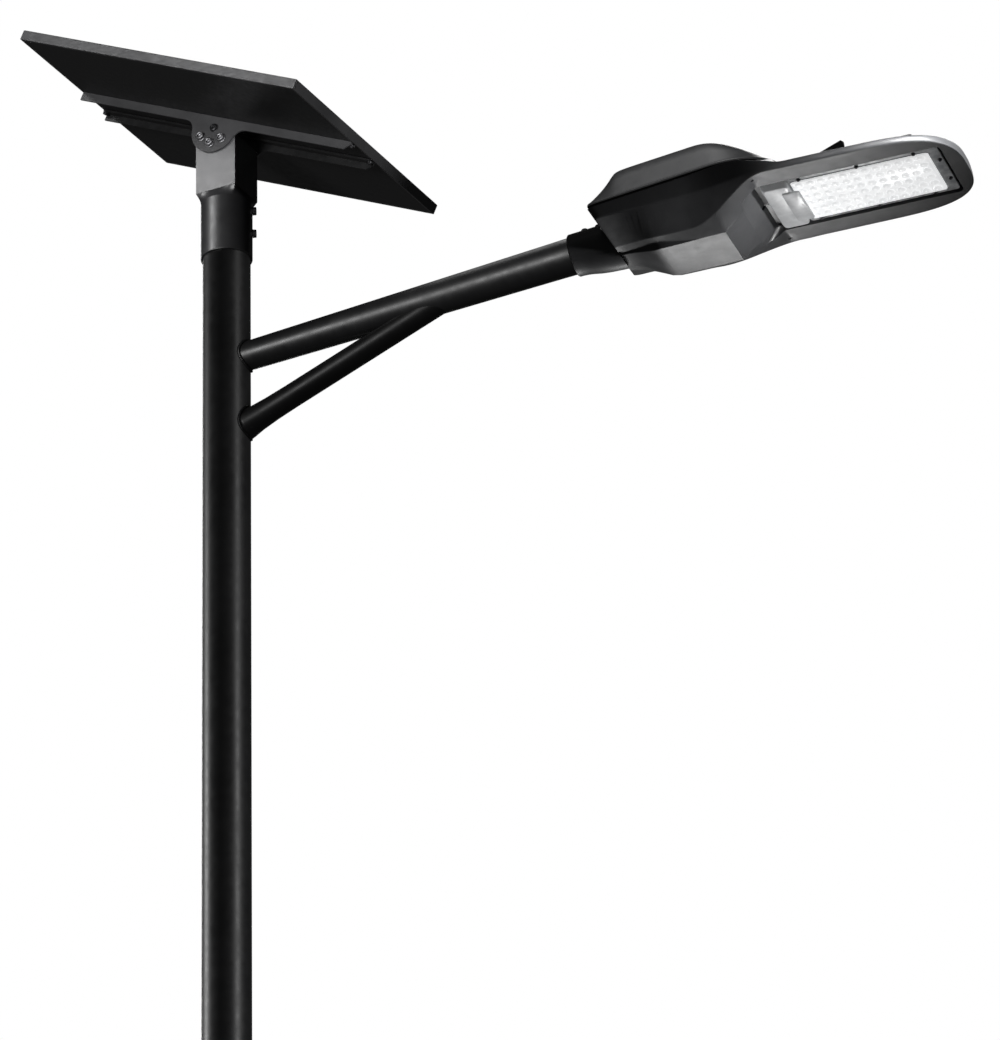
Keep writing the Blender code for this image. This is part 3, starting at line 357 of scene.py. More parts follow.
# ------------------------------------------------------------------ mesh helpers
def finish_bm(name, bm, mat, body, reps=(), angle=35.0, normals=True):
    bmesh.ops.remove_doubles(bm, verts=bm.verts, dist=2e-6)
    if normals:
        bmesh.ops.recalc_face_normals(bm, faces=bm.faces)
    me = bpy.data.meshes.new(name)
    bm.to_mesh(me)
    bm.free()
    me.materials.append(mat.m)
    ob = bpy.data.objects.new(name, me)
    scene.collection.objects.link(ob)
    me.shade_smooth()
    me.set_sharp_from_angle(angle=math.radians(angle))
    if body:
        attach(ob, body)
        if reps:
            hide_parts(*reps)
    return ob


def loft(bm, rings, closed=True, cap=True):
    rows = [[bm.verts.new(p) for p in ring] for ring in rings]
    n = len(rows[0])
    for a, b in zip(rows[:-1], rows[1:]):
        for i in range(n if closed else n - 1):
            j = (i + 1) % n
            bm.faces.new((a[i], a[j], b[j], b[i]))
    if cap:
        bm.faces.new(list(reversed(rows[0])))
        bm.faces.new(rows[-1])
    return rows


def bake(ob, angle=35.0):
    """apply an object's modifiers to its mesh"""
    bpy.context.view_layer.update()
    dg = bpy.context.evaluated_depsgraph_get()
    me = bpy.data.meshes.new_from_object(ob.evaluated_get(dg))
    old = ob.data
    ob.modifiers.clear()
    ob.data = me
    bpy.data.meshes.remove(old)
    me.shade_smooth()
    if angle is not None:
        me.set_sharp_from_angle(angle=math.radians(angle))
    return ob


def bare(name, bm):
    bmesh.ops.remove_doubles(bm, verts=bm.verts, dist=2e-6)
    bmesh.ops.recalc_face_normals(bm, faces=bm.faces)
    me = bpy.data.meshes.new(name)
    bm.to_mesh(me)
    bm.free()
    ob = bpy.data.objects.new(name, me)
    scene.collection.objects.link(ob)
    return ob


def booleans(ob, cutters, angle=35.0):
    for c, op in cutters:
        m = ob.modifiers.new("b", 'BOOLEAN')
        m.operation = op
        m.solver = 'EXACT'
        m.object = c
    bake(ob, angle)
    for c, _ in cutters:
        bpy.data.objects.remove(c, do_unlink=True)
    return ob


def refine(node, body, mat, width=0.5, seg=2, name=None, angle=32.0):
    """the CAD node's own shape with its edges rounded"""
    bm = bmesh.new()
    bm.from_mesh(NODES[node].data)
    bmesh.ops.remove_doubles(bm, verts=bm.verts, dist=1e-5)
    bmesh.ops.dissolve_limit(bm, angle_limit=math.radians(0.6), verts=bm.verts, edges=bm.edges)
    ob = finish_bm(name or node + "_shape", bm, mat, body, (node,), angle=40)
    if width > 0:
        m = ob.modifiers.new("edge", 'BEVEL')
        m.width = width * MM
        m.segments = seg
        m.limit_method = 'ANGLE'
        m.angle_limit = math.radians(angle)
        w = ob.modifiers.new("weights", 'WEIGHTED_NORMAL')
        w.keep_sharp = True
        w.weight = 60
        bake(ob, None)
    return ob


def basis(axis):
    a = Vector(axis).normalized()
    k = Vector((0, 0, 1)) if abs(a.z) < 0.9 else Vector((1, 0, 0))
    u = a.cross(k).normalized()
    return a, u, a.cross(u)


def turned(bm, origin, axis, prof, seg=36, spin=0.0):
    """turned solid: prof rows are (distance along axis, radius) or (distance, radius, 6) for a hexagon"""
    a, u, v = basis(axis)
    rings = []
    for row in prof:
        y, r = row[0], row[1]
        k = row[2] if len(row) > 2 else 0
        ring = []
        for i in range(seg):
            an = 2 * math.pi * i / seg + spin
            rr = r
            if k:
                q = (math.degrees(an) % 60.0) - 30.0
                rr = r * math.cos(math.radians(30)) / math.cos(math.radians(q))
            ring.append(origin + a * (y * MM) + (u * math.cos(an) + v * math.sin(an)) * (rr * MM))
        rings.append(ring)
    loft(bm, rings)


def cap_screw(name, origin, axis, r, h, body, reps, mat=None, socket=0.52, washer=None, shank=None):
    """socket cap screw with a hexagon recess, its seat at origin, head along axis"""
    bm = bmesh.new()
    rs = r * socket
    prof = []
    if shank:
        prof += [(-shank[1], shank[0] * 0.85), (-shank[1] + 0.6, shank[0]), (-0.02, shank[0])]
    w = 0.0
    if washer:
        prof += [(0.0, washer[0] - 0.25), (0.15, washer[0]), (washer[1] - 0.15, washer[0]), (washer[1], washer[0] - 0.25)]
        w = washer[1]
    prof += [(w, r - 0.15), (w + 0.2, r), (w + h - 0.9, r), (w + h - 0.35, r - 0.2), (w + h, r - 0.75), (w + h, rs + 0.5),
             (w + h - 0.35, rs, 6), (w + h * 0.42, rs, 6), (w + h * 0.30, rs * 0.35)]
    turned(bm, origin, axis, prof, 36)
    return finish_bm(name, bm, mat or DARK, body, reps, angle=38)


def hex_bolt(name, origin, axis, r, h, body, reps, mat=None, washer=None, shank=None):
    bm = bmesh.new()
    prof = []
    if shank:
        prof += [(-shank[1], shank[0] * 0.85), (-shank[1] + 0.6, shank[0]), (-0.02, shank[0])]
    w = 0.0
    if washer:
        prof += [(0.0, washer[0] - 0.25), (0.15, washer[0]), (washer[1] - 0.15, washer[0]), (washer[1], washer[0] - 0.25)]
        w = washer[1]
    prof += [(w, r * 0.93), (w + 0.3, r, 6), (w + h - 0.7, r, 6), (w + h - 0.1, r * 0.88), (w + h, r * 0.80), (w + h - 0.25, r * 0.62), (w + h - 0.25, r * 0.1)]
    turned(bm, origin, axis, prof, 36)
    return finish_bm(name, bm, mat or DARK, body, reps, angle=32)


def tube(bm, pts, radius, seg=10, closed=False):
    """swept round section along pts; radius may be a function of the index"""
    n = len(pts)
    rings = []
    prev = None
    for i, p in enumerate(pts):
        a = pts[(i - 1) % n] if (closed or i > 0) else pts[i]
        b = pts[(i + 1) % n] if (closed or i < n - 1) else pts[i]
        d = (b - a).normalized()
        if prev is None:
            _, u, v = basis(d)
        else:
            u = (prev - d * prev.dot(d)).normalized()
            v = d.cross(u)
        prev = u
        r = radius(i) if callable(radius) else radius
        rings.append([p + (u * math.cos(2 * math.pi * j / seg) + v * math.sin(2 * math.pi * j / seg)) * r for j in range(seg)])
    if closed:
        rows = [[bm.verts.new(p) for p in ring] for ring in rings]
        for i in range(n):
            a, b = rows[i], rows[(i + 1) % n]
            for j in range(seg):
                bm.faces.new((a[j], a[(j + 1) % seg], b[(j + 1) % seg], b[j]))
    else:
        loft(bm, rings)


def mix(a, b, t):
    return a + (b - a) * t


def smooth(x, a, b):
    t = min(1.0, max(0.0, (x - a) / (b - a)))
    return t * t * (3 - 2 * t)


def fillet(ring, radii, steps=4):
    """round the corners of a closed ring of points; the point count stays the same for every ring"""
    out = []
    n = len(ring)
    for i, p in enumerate(ring):
        a, b = ring[i - 1], ring[(i + 1) % n]
        r = radii[i]
        if r is None:
            out.append(p)
            continue
        da, db = (a - p), (b - p)
        ka = min(r * MM, 0.42 * da.length)
        kb = min(r * MM, 0.42 * db.length)
        p0 = p + da.normalized() * ka if da.length > 1e-9 else p
        p2 = p + db.normalized() * kb if db.length > 1e-9 else p
        for j in range(steps + 1):
            u = j / steps
            out.append(p0 * (1 - u) ** 2 + p * 2 * u * (1 - u) + p2 * u * u)
    return out


# ------------------------------------------------------------------ pole, arm and brace
POLE_R = 38.0


def plain(node, mat):
    ob = NODES[node]
    ob.data.materials.clear()
    ob.data.materials.append(mat.m)


def pole_piece():
    lo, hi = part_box("pole_tube")
    z0, z1 = lo.z * 1000, hi.z * 1000
    prof = [(z0, 34.6), (z0, 37.4), (z0 + 0.6, 38.0)]
    n = 60
    for i in range(1, n):
        prof.append((z0 + (z1 - z0) * i / n, 38.0))
    prof += [(z1 - 0.6, 38.0), (z1, 37.4), (z1, 34.6), (z0, 34.6)]
    bm = bmesh.new()
    rings = []
    for z, r in prof:
        rings.append([Vector((r * MM * math.cos(2 * math.pi * i / 96), r * MM * math.sin(2 * math.pi * i / 96), z * MM)) for i in range(96)])
    loft(bm, rings, cap=False)
    finish_bm("pole_tube_shape", bm, COAT, "pole", ("pole_tube",))


pole_piece()


def arm_piece():
    seg = 72
    R0, R1, SPIG = 23.0, 29.3, 29.5
    rings = []

    def ring(fun, r):
        return [fun(r * math.cos(2 * math.pi * i / seg), r * math.sin(2 * math.pi * i / seg)) for i in range(seg)]

    def at_pole(t, h, gap=0.32):
        x = math.sqrt(max(0.0, (POLE_R + gap) ** 2 - t * t))
        return W((x + h * SR) / CR, t, h)

    rings.append(ring(at_pole, R0 + (R1 - R0) * 0.07))
    for s in (60, 120, 200, 300, 400, 500, 566):
        r = mix(R0, R1, (s + 10) / 576)
        rings.append(ring(lambda t, h, s=s: W(s, t, h), r))
    rings.append(ring(lambda t, h: W(572, t, h), SPIG))
    rings.append(ring(lambda t, h: W(639, t, h), SPIG))
    rings.append(ring(lambda t, h: W(640, t, h), SPIG - 0.8))
    rings.append(ring(lambda t, h: W(640, t, h), SPIG - 3.0))
    rings.append(ring(lambda t, h: W(566, t, h), R1 - 3.0))
    rings.append(ring(lambda t, h: W(60, t, h), R0 - 2.3))
    rings.append(ring(at_pole, R0 - 2.5))
    rings.append(rings[0])
    bm = bmesh.new()
    loft(bm, rings, cap=False)
    finish_bm("arm_tube_shape", bm, COAT, "pole", ("arm_tube",), angle=40)
    # weld bead where the arm meets the pole
    pts = []
    n = 180
    for i in range(n):
        a = 2 * math.pi * i / n
        r = R0 + (R1 - R0) * 0.07 + 1.2
        pts.append(at_pole(r * math.cos(a), r * math.sin(a), gap=0.9))
    bm = bmesh.new()
    tube(bm, pts, lambda i: (2.1 + 0.28 * math.sin(i * 1.9) + 0.12 * math.sin(i * 0.7)) * MM, 10, closed=True)
    finish_bm("arm_weld", bm, COAT, "pole", (), angle=60)


arm_piece()


def brace_piece():
    ob = refine("brace_tube", "pole", COAT, 0.0)
    BZ, BR = 2678.0, math.radians(25.2)
    cb, sb = math.cos(BR), math.sin(BR)
    pts = []
    n = 150
    for i in range(n):
        a = 2 * math.pi * i / n
        r = 24.4
        t, h = r * math.cos(a), r * math.sin(a)
        x = math.sqrt(max(0.0, (POLE_R + 0.9) ** 2 - t * t))
        s = (x + h * sb) / cb
        pts.append(Vector(((s * cb - h * sb) * MM, t * MM, (BZ + s * sb + h * cb) * MM)))
    bm = bmesh.new()
    tube(bm, pts, lambda i: (1.9 + 0.25 * math.sin(i * 1.9) + 0.1 * math.sin(i * 0.63)) * MM, 10, closed=True)
    finish_bm("brace_weld", bm, COAT, "pole", (), angle=60)


brace_piece()

refine("base_plate", "pole", COAT, 1.2)
for i in range(1, 5):
    refine("base_gusset_%d" % i, "pole", COAT, 0.7)
bm = bmesh.new()
ringp = [Vector((39.6 * MM * math.cos(2 * math.pi * i / 220), 39.6 * MM * math.sin(2 * math.pi * i / 220), 15.8 * MM)) for i in range(220)]
tube(bm, ringp, lambda i: (2.4 + 0.3 * math.sin(i * 1.9)) * MM, 10, closed=True)
finish_bm("base_weld", bm, COAT, "pole", (), angle=60)

# ------------------------------------------------------------------ panel head


def sleeve_piece():
    """round sleeve that opens into the square head, turned as one closed ring of sections"""
    n = 96
    z0, z1, hb, r = 2994.0, 3092.0, 35.8, 41.2

    def ring(z, rad, u=0.0):
        out = []
        for i in range(n):
            a = 2 * math.pi * i / n
            c, s = math.cos(a), math.sin(a)
            k = (1 - u) * rad + u * hb / max(abs(c), abs(s))
            out.append(HEAD_M @ Vector((c * k * MM, s * k * MM, z * MM)))
        return out

    rings = [ring(z0, 38.7), ring(z0, r - 0.6), ring(z0 + 0.2, r - 0.2), ring(z0 + 0.7, r), ring(z0 + 3, r), ring(3043, r), ring(z1 - 3, r), ring(z1 - 0.3, r)]
    rings += [ring(z1 + 15 * u, r, u) for u in (0.0, 0.04, 0.3, 0.6, 0.95, 1.0)]
    rings += [ring(z1 + 15, 22.0), ring(3088.5, 22.0), ring(3088.5, 38.4), ring(z0 + 0.3, 38.4)]
    bm = bmesh.new()
    rows = loft(bm, rings, cap=False)
    for i in range(n):
        j = (i + 1) % n
        bm.faces.new((rows[-1][i], rows[-1][j], rows[0][j], rows[0][i]))
    ob = finish_bm("adapter_sleeve_shape", bm, HEADBOX, "panel_head", ("adapter_sleeve",), angle=34)
    cuts = []
    for k, z in enumerate((3041.0, 3082.0)):
        a = math.radians(27.0)
        d = HEAD_M @ Vector((math.cos(a), math.sin(a), 0))
        cb = bmesh.new()
        turned(cb, HEAD_M @ Vector((0, 0, z * MM)), d, [(30.0, 4.1), (50.0, 4.1)], 24)
        cuts.append((bare("set_hole_%d" % k, cb), 'DIFFERENCE'))
    booleans(ob, cuts, 34)


sleeve_piece()
refine("adapter_box", "panel_head", BOXC, 1.5, 3)


def set_bolts():
    a = math.radians(27.0)
    ax = HEAD_M @ Vector((math.cos(a), math.sin(a), 0))
    for k, z in enumerate((3041.0, 3082.0)):
        o = HEAD_M @ Vector((41.4 * MM * math.cos(a), 41.4 * MM * math.sin(a), z * MM))
        hex_bolt("sleeve_set_bolt_%d_shape" % (k + 1), o, ax, 6.6, 5.0, "panel_head", ("sleeve_set_bolt_%d" % (k + 1),),
                 mat=BLACKBOLT, washer=(7.2, 1.0), shank=(3.7, 3.0))


set_bolts()
YD = HEAD_M @ Vector((0, 1, 0))
OUT = 36.4 + 3.0 + 0.15


def pivot_pieces():
    o = PIVOT - YD * (OUT * MM)
    bm = bmesh.new()
    turned(bm, o, -YD, [(-79.5, 3.9), (-0.02, 3.9), (0.0, 7.1), (0.2, 7.3), (0.9, 7.3), (1.1, 7.0), (1.1, 6.2), (1.6, 6.35), (3.4, 6.2), (4.4, 5.2), (4.7, 3.2),
                                (4.4, 2.6, 6), (2.4, 2.6, 6), (2.2, 1.0)], 36)
    finish_bm("pivot_bolt_shape", bm, BLACKBOLT, "panel_head", ("pivot_bolt",), angle=38)
    bm = bmesh.new()
    turned(bm, PIVOT + YD * (OUT * MM + 0.0003), YD, [(0, 4.4), (0.0, 7.2), (0.5, 7.5, 6), (5.8, 7.5, 6), (6.5, 6.6), (6.5, 4.4), (0, 4.4)], 36)
    finish_bm("pivot_nut_shape", bm, DARK, "panel_head", ("pivot_nut",), angle=32)


pivot_pieces()

# ------------------------------------------------------------------ rails, clamp plates and lock bolts
for side in ("near", "far"):
    # the near rail takes the lighter, painted-light copy of the coat; the far rail the plain black
    refine("rail_" + side, "panel", COAT if side == "far" else NEAR_RAIL_LIT_COAT, 0.45)
    refine("clamp_plate_" + side, "panel", DARK, 0.3)
QD = -YD
for side, sg in (("near", -1), ("far", 1)):
    for n, a in enumerate((-44.0, 8.0, 56.0)):
        x, z = 26.0 * math.sin(math.radians(a)), -26.0 * math.cos(math.radians(a))
        o = P(x, sg * OUT, z)
        cap_screw("lock_bolt_%s_%d_shape" % (side, n + 1), o, YD * sg, 6.5, 5.8, "panel", ("lock_bolt_%s_%d" % (side, n + 1),),
                  mat=WASHER, socket=0.62, washer=(7.4, 1.2), shank=(3.9, 9.0))
for nm in ("near", "far"):
    for nn in ("upper", "lower"):
        lo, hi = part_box("rail_bolt_%s_%s" % (nm, nn))
        p0, p1 = -8.0 - 277.5, -8.0 + 277.5
        x = p0 + 6.5 if nn == "upper" else p1 - 6.5
        y = (-1 if nm == "near" else 1) * (36.4 - 7)
        o = P(x, y, 20.0 - 0.8 - 3.0)
        dn = (P(0, 0, -1) - P(0, 0, 0)).normalized()
        hex_bolt("rail_bolt_%s_%s_shape" % (nm, nn), o, dn, 4.5, 3.0, "panel", ("rail_bolt_%s_%s" % (nm, nn),), mat=DARK,
                 washer=(5.0, 0.6), shank=(2.3, 3.0))

# ------------------------------------------------------------------ solar panel
for nm in ("near", "far", "upper", "lower"):
    refine("panel_frame_" + nm, "panel", ANOD, 0.35)
P0, P1, HQ, U = -285.5, 269.5, 229.0, 20.0


def corner_keys():
    """small countersunk corner screws in the frame's ends"""
    for k, (x, sx) in enumerate(((P0, -1), (P1, 1))):
        for j, q in enumerate((-HQ + 4.2, HQ - 4.2)):
            for i, z in enumerate((U + 4.5, U + 13.0)):
                ax = (P(1, 0, 0) - P(0, 0, 0)).normalized() * sx
                bm = bmesh.new()
                turned(bm, P(x, q, z) , ax, [(-0.6, 1.0), (-0.05, 1.9), (0.25, 1.9), (0.4, 1.6), (0.4, 0.9), (0.1, 0.7, 6), (-0.3, 0.5)], 18)
                finish_bm("frame_screw_%d_%d_%d" % (k + 1, j + 1, i + 1), bm, DARK, "panel", (), angle=38)


corner_keys()


def solar_glass():
    e = 2.3
    a0, a1, q0 = P0 + e, P1 - e, HQ - e
    bm = bmesh.new()

    def ring(i, z):
        c = 3.0
        pts = [(a0 + i + c, -q0 + i), (a1 - i - c, -q0 + i), (a1 - i, -q0 + i + c), (a1 - i, q0 - i - c), (a1 - i - c, q0 - i), (a0 + i + c, q0 - i), (a0 + i, q0 - i - c), (a0 + i, -q0 + i + c)]
        return [P(p, q, z) for p, q in pts]

    loft(bm, [ring(0.4, U + 13.0), ring(0, U + 13.4), ring(0, U + 15.3), ring(0.4, U + 15.7)])
    finish_bm("panel_laminate", bm, LAMINATE, "panel", ("panel_glass",), angle=25)
    # cells in six rows of four, their corners clipped
    bm = bmesh.new()
    uv = bm.loops.layers.uv.new("UVMap")
    nx, ny, gap, edge = 6, 4, 2.6, 12.0
    wx = (a1 - a0 - 2 * edge - (nx - 1) * gap) / nx
    wy = (2 * q0 - 2 * edge - (ny - 1) * gap) / ny
    for i in range(nx):
        for j in range(ny):
            x0 = a0 + edge + i * (wx + gap)
            y0 = -q0 + edge + j * (wy + gap)
            c = 5.0
            o = [(c, 0), (wx - c, 0), (wx, c), (wx, wy - c), (wx - c, wy), (c, wy), (0, wy - c), (0, c)]
            lo_ = [bm.verts.new(P(x0 + x, y0 + y, U + 15.6)) for x, y in o]
            hi_ = [bm.verts.new(P(x0 + x, y0 + y, U + 15.85)) for x, y in o]
            fs = [bm.faces.new(hi_), bm.faces.new(list(reversed(lo_)))]
            for k in range(8):
                fs.append(bm.faces.new((lo_[k], lo_[(k + 1) % 8], hi_[(k + 1) % 8], hi_[k])))
            pos = {}
            for v, q in zip(lo_ + hi_, o + o):
                pos[v] = (q[1] / wy, q[0] / wx)
            for f in fs:
                for l in f.loops:
                    l[uv].uv = pos[l.vert]
    finish_bm("panel_cells", bm, CELL, "panel", (), angle=25)
    # tinned interconnect ribbons at both ends of the cell rows
    bm = bmesh.new()
    for x in (a0 + 5.5, a1 - 5.5):
        v = [bm.verts.new(P(x + ddx, qq, U + z)) for ddx, qq, z in ((-2, -q0 + 18, 15.65), (2, -q0 + 18, 15.65), (2, q0 - 18, 15.65), (-2, q0 - 18, 15.65),
                                                                 (-2, -q0 + 18, 15.82), (2, -q0 + 18, 15.82), (2, q0 - 18, 15.82), (-2, q0 - 18, 15.82))]
        for f in ((3, 2, 1, 0), (4, 5, 6, 7), (0, 1, 5, 4), (1, 2, 6, 5), (2, 3, 7, 6), (3, 0, 4, 7)):
            bm.faces.new([v[k] for k in f])
    finish_bm("panel_ribbons", bm, ZINC, "panel", (), angle=25)


solar_glass()
refine("panel_backsheet", "panel", BACK, 0.3)
refine("panel_back_cover", "panel", BACK, 0.3)


def junction():
    refine("junction_box", "panel", PLASTIC, 1.0, 3)
    bm = bmesh.new()
    ax = (P(-1, 0, 0) - P(0, 0, 0)).normalized()
    turned(bm, P(95.4, 0, U + 6.6), ax, [(-0.1, 3.6), (0.0, 4.1), (1.0, 4.1), (1.3, 3.8), (1.5, 4.1, 6), (5.0, 4.1, 6), (5.4, 3.7), (8.2, 3.4), (9.0, 2.8), (9.0, 1.8), (5, 1.6)], 36)
    finish_bm("junction_gland_shape", bm, PLASTIC, "panel", ("junction_gland",), angle=34)


junction()

# ------------------------------------------------------------------ luminaire shape
TUB_REAR, REAR_SLANT, TIP, HEAD_HALF, SEAM_HALF, LID_FRONT = 642.0, 0.42, 1218.0, 115.0, 101.0, 946.0


def seam_h(s):
    return 13.0 + 0.02 * (s - TUB_REAR)


def head_h(s):
    return -28.0 - 0.09 * (s - 960.0)


def plan_half(s, full, start, end, power):
    if s <= start:
        return full
    x = min(1.0, (s - start) / (end - start))
    return full * max(0.0, 1 - x ** power) ** (1 / power)


def rear_round(s, r):
    x = min(1.0, max(0.0, (s - TUB_REAR) / r))
    return 0.96 + 0.04 * math.sqrt(max(0.0, 1 - (1 - x) ** 2))


def rim_half(s):
    w = mix(SEAM_HALF, HEAD_HALF, smooth(s, 800, 950))
    return plan_half(s, w, 1060, TIP, 3.1)


def low_h(s):
    return mix(-47.0 - 0.072 * (s - 675.0) + 13.0 * (1 - smooth(s, 640, 730)), head_h(s), smooth(s, 795, 928))


def low_half(s):
    return plan_half(s, mix(mix(40.0, 66.0, smooth(s, 640, 730)), HEAD_HALF, smooth(s, 780, 938)) - 2.5 * smooth(s, 900, 960), 1060, TIP, 3.1)


def bottom_h(s):
    k = min(1.0, max(0.0, (s - 838.0) / 66.0))
    tub = mix(-38.0, -58.5, smooth(s, 640, 722)) - 0.060 * (s - 675.0)
    return mix(tub, head_h(s), k)


def lid_half(s):
    return plan_half(s, SEAM_HALF - 1.0, 838, LID_FRONT, 2.2)


def section(s):
    kt = smooth(s, 905, 962)
    kr = rear_round(s, 14)
    a = rim_half(s) * kr
    seam = seam_h(s)
    rim = mix(seam, head_h(s) + 11.0, smooth(s, 850, 965))
    top_w = mix(min(lid_half(s) + 0.5, a - 2.0), a * 0.84, kt)
    top_h = mix(seam, head_h(s) + 17.0, smooth(s, 932, 950))
    crease = mix(-8.0 - 0.05 * (s - 658.0), head_h(s) + 4.0, smooth(s, 830, 945))
    b = mix(a - 1.5, a, smooth(s, 830, 945))
    c = min(low_half(s) * (kr if s < 800 else 1.0), b - 0.4)
    lh = low_h(s)
    d = mix(mix(19.0, 46.0, smooth(s, 640, 730)), c - 16.0, smooth(s, 850, 930))
    d = max(2.0, min(d, c - 3.0)) if c > 6 else c * 0.5
    bh = bottom_h(s) if s < 922 else lh - 0.02
    step = mix(lh - 1.0, bh + 0.5, smooth(s, 690, 806)) if s < 806 else mix(lh, bh, 0.96)
    e = d + min(1.5, 0.5 * (c - d))
    half = [(0.0, top_h), (top_w, top_h), (a, rim), (b, crease), (c, lh), (e, step), (d, bh), (0.0, bh)]
    pts = half + [(-t, h) for t, h in reversed(half[1:-1])]
    k = REAR_SLANT * (1 - smooth(s, TUB_REAR, 760))
    ring = [W(s + k * (seam - h), t, h) for t, h in pts]
    hd = smooth(s, 880, 960)
    rr = [None, mix(1.2, 3.5, hd), mix(1.6, 4.5, hd), mix(3.0, 3.5, hd), mix(2.0, 3.0, hd), mix(1.2, 2.0, hd), mix(1.6, 2.0, hd), None]
    radii = rr + list(reversed(rr[1:-1]))
    return fillet(ring, radii, 4)


def housing_stations():
    st = [642, 642.8, 644, 646, 648, 650, 652.5, 655.5, 659, 663, 668, 673, 678, 684, 692, 702, 714, 728, 744, 762, 780]
    st += [790 + 4.0 * i for i in range(44)]          # the flare, 790 to 962
    st += [972, 985, 1000, 1015, 1030, 1045]
    n = 34
    st += [1060 + 157.8 * math.sin(math.pi / 2 * i / n) for i in range(n + 1)]
    return sorted(set(round(x, 3) for x in st))


def rect(s0, s1, w, h, c=12.0):
    return [W(s0 + c, -w, h), W(s1 - c, -w, h), W(s1, -w + c, h), W(s1, w - c, h), W(s1 - c, w, h), W(s0 + c, w, h), W(s0, w - c, h), W(s0, -w + c, h)]


def rrect(s0, s1, w, hf, c=12.0, n=6):
    """rounded rectangle on the plane or height function hf"""
    out = []
    for cx, cy, a0 in ((s1 - c, w - c, 0), (s0 + c, w - c, 90), (s0 + c, -w + c, 180), (s1 - c, -w + c, 270)):
        for i in range(n + 1):
            a = math.radians(a0 + 90 * i / n)
            s, t = cx + c * math.cos(a), cy + c * math.sin(a)
            out.append(W(s, t, hf(s) if callable(hf) else hf))
    return out


def cyl_cut(origin, axis, r, length, seg=24):
    bm = bmesh.new()
    turned(bm, origin, axis, [(0, r), (length * 1.0, r)], seg)
    return bare("cut", bm)


AX = AXIS
UP = Vector((-SR, 0, CR))


def housing():
    bm = bmesh.new()
    loft(bm, [section(s) for s in housing_stations()])
    ob = finish_bm("lower_housing_shape", bm, CAST, "luminaire", ("lower_housing",), angle=33)
    cuts = []
    bm = bmesh.new()
    loft(bm, [rrect(716, 832, 46, -43, 13), rrect(700, 838, 54, -36, 13), rrect(668, 846, 94, -10, 14), rrect(666, 848, 93, 60, 14)])
    cuts.append((bare("bay", bm), 'DIFFERENCE'))
    # LED pocket with a slanting rear wall; its ceiling follows the head
    bm = bmesh.new()
    ceil = lambda s: head_h(s) + 9.0
    rings = [rrect(800, 1193, 73, -120, 9), rrect(860, 1193, 73, -60, 9), rrect(897, 1193, 73, ceil, 9)]
    loft(bm, rings)
    cuts.append((bare("pocket", bm), 'DIFFERENCE'))
    cuts.append((cyl_cut(W(836, 0, -17), AX, 4, 70), 'DIFFERENCE'))
    cuts.append((cyl_cut(W(630, 0, -13), AX, 15, 70, 32), 'DIFFERENCE'))
    for t in (-97, 97):
        cuts.append((cyl_cut(W(905, t, -80), UP, 2.6, 62, 20), 'DIFFERENCE'))
    HS, HH = 953.0, 25.0
    for t in (-22.5, 22.5):
        prof = [(HS - 7, -14), (HS + 11, -14), (HS + 5, HH)]
        prof += [(HS + 5 * math.cos(math.radians(180 * i / 14)), HH + 5 * math.sin(math.radians(180 * i / 14))) for i in range(1, 15)] + [(HS - 6, 0)]
        bm = bmesh.new()
        loft(bm, [[W(s, tt, h) for s, h in prof] for tt in (t - 4.5, t + 4.5)])
        cuts.append((bare("ear", bm), 'UNION'))
    cuts.append((cyl_cut(W(HS, -40, HH), Vector((0, 1, 0)), 2.8, 80), 'DIFFERENCE'))
    booleans(ob, cuts, 33)


housing()


def socket_piece():
    S = 584.0
    seg = 72

    def boss(s, r, drop, slant=0.0):
        out = []
        for i in range(seg):
            a = 2 * math.pi * i / seg
            t, h = r * math.cos(a), r * math.sin(a)
            if h < 0:
                h = h * (1 + drop / r)
            out.append(W(s + slant * (13.0 - h), t, h))
        return out

    bm = bmesh.new()
    rings = [boss(S, 32.4, 0), boss(S + 0.6, 33.2, 0), boss(S + 1.6, 34, 0)]
    for s, d in ((S + 6, 0), (S + 10, 0.5), (S + 14, 1), (S + 20, 2.6), (S + 26, 5.2), (S + 30, 7), (S + 37, 9.4), (S + 44, 11.0), (S + 52, 12.4)):
        rings.append(boss(s, 34, d, REAR_SLANT * smooth(s, S + 10, TUB_REAR)))
    rings.append(boss(TUB_REAR - 0.6, 34, 13, REAR_SLANT))
    loft(bm, rings)
    ob = finish_bm("spigot_socket_shape", bm, CAST, "luminaire", ("spigot_socket",), angle=38)
    cuts = [(cyl_cut(W(S - 20, 0, 0), AX, 30.0, 120, 72), 'DIFFERENCE')]
    for s in (608, 631):
        cuts.append((cyl_cut(W(s, 0, 20), UP, 4.3, 40, 20), 'DIFFERENCE'))
    booleans(ob, cuts, 38)
    for n, s in enumerate((608, 631)):
        # a clamp bolt with its washer over each hole
        hex_bolt("spigot_clamp_bolt_%d_shape" % (n + 1), W(s, 0, 34.3), UP, 5.7, 4.4, "luminaire", ("spigot_clamp_bolt_%d" % (n + 1),),
                 mat=DARK, washer=(6.6, 1.2), shank=(3.9, 4.0))


socket_piece()


# ------------------------------------------------------------------ battery lid
def lid_top(s):
    x = (s - 626.0) / 60.0
    rise = x if x < 0.86 else 1 - 0.14 * math.exp(-(x - 0.86) / 0.14)
    return seam_h(s) + 4 + 62.5 * rise * (1 - smooth(s, 815, 962) ** 1.15)


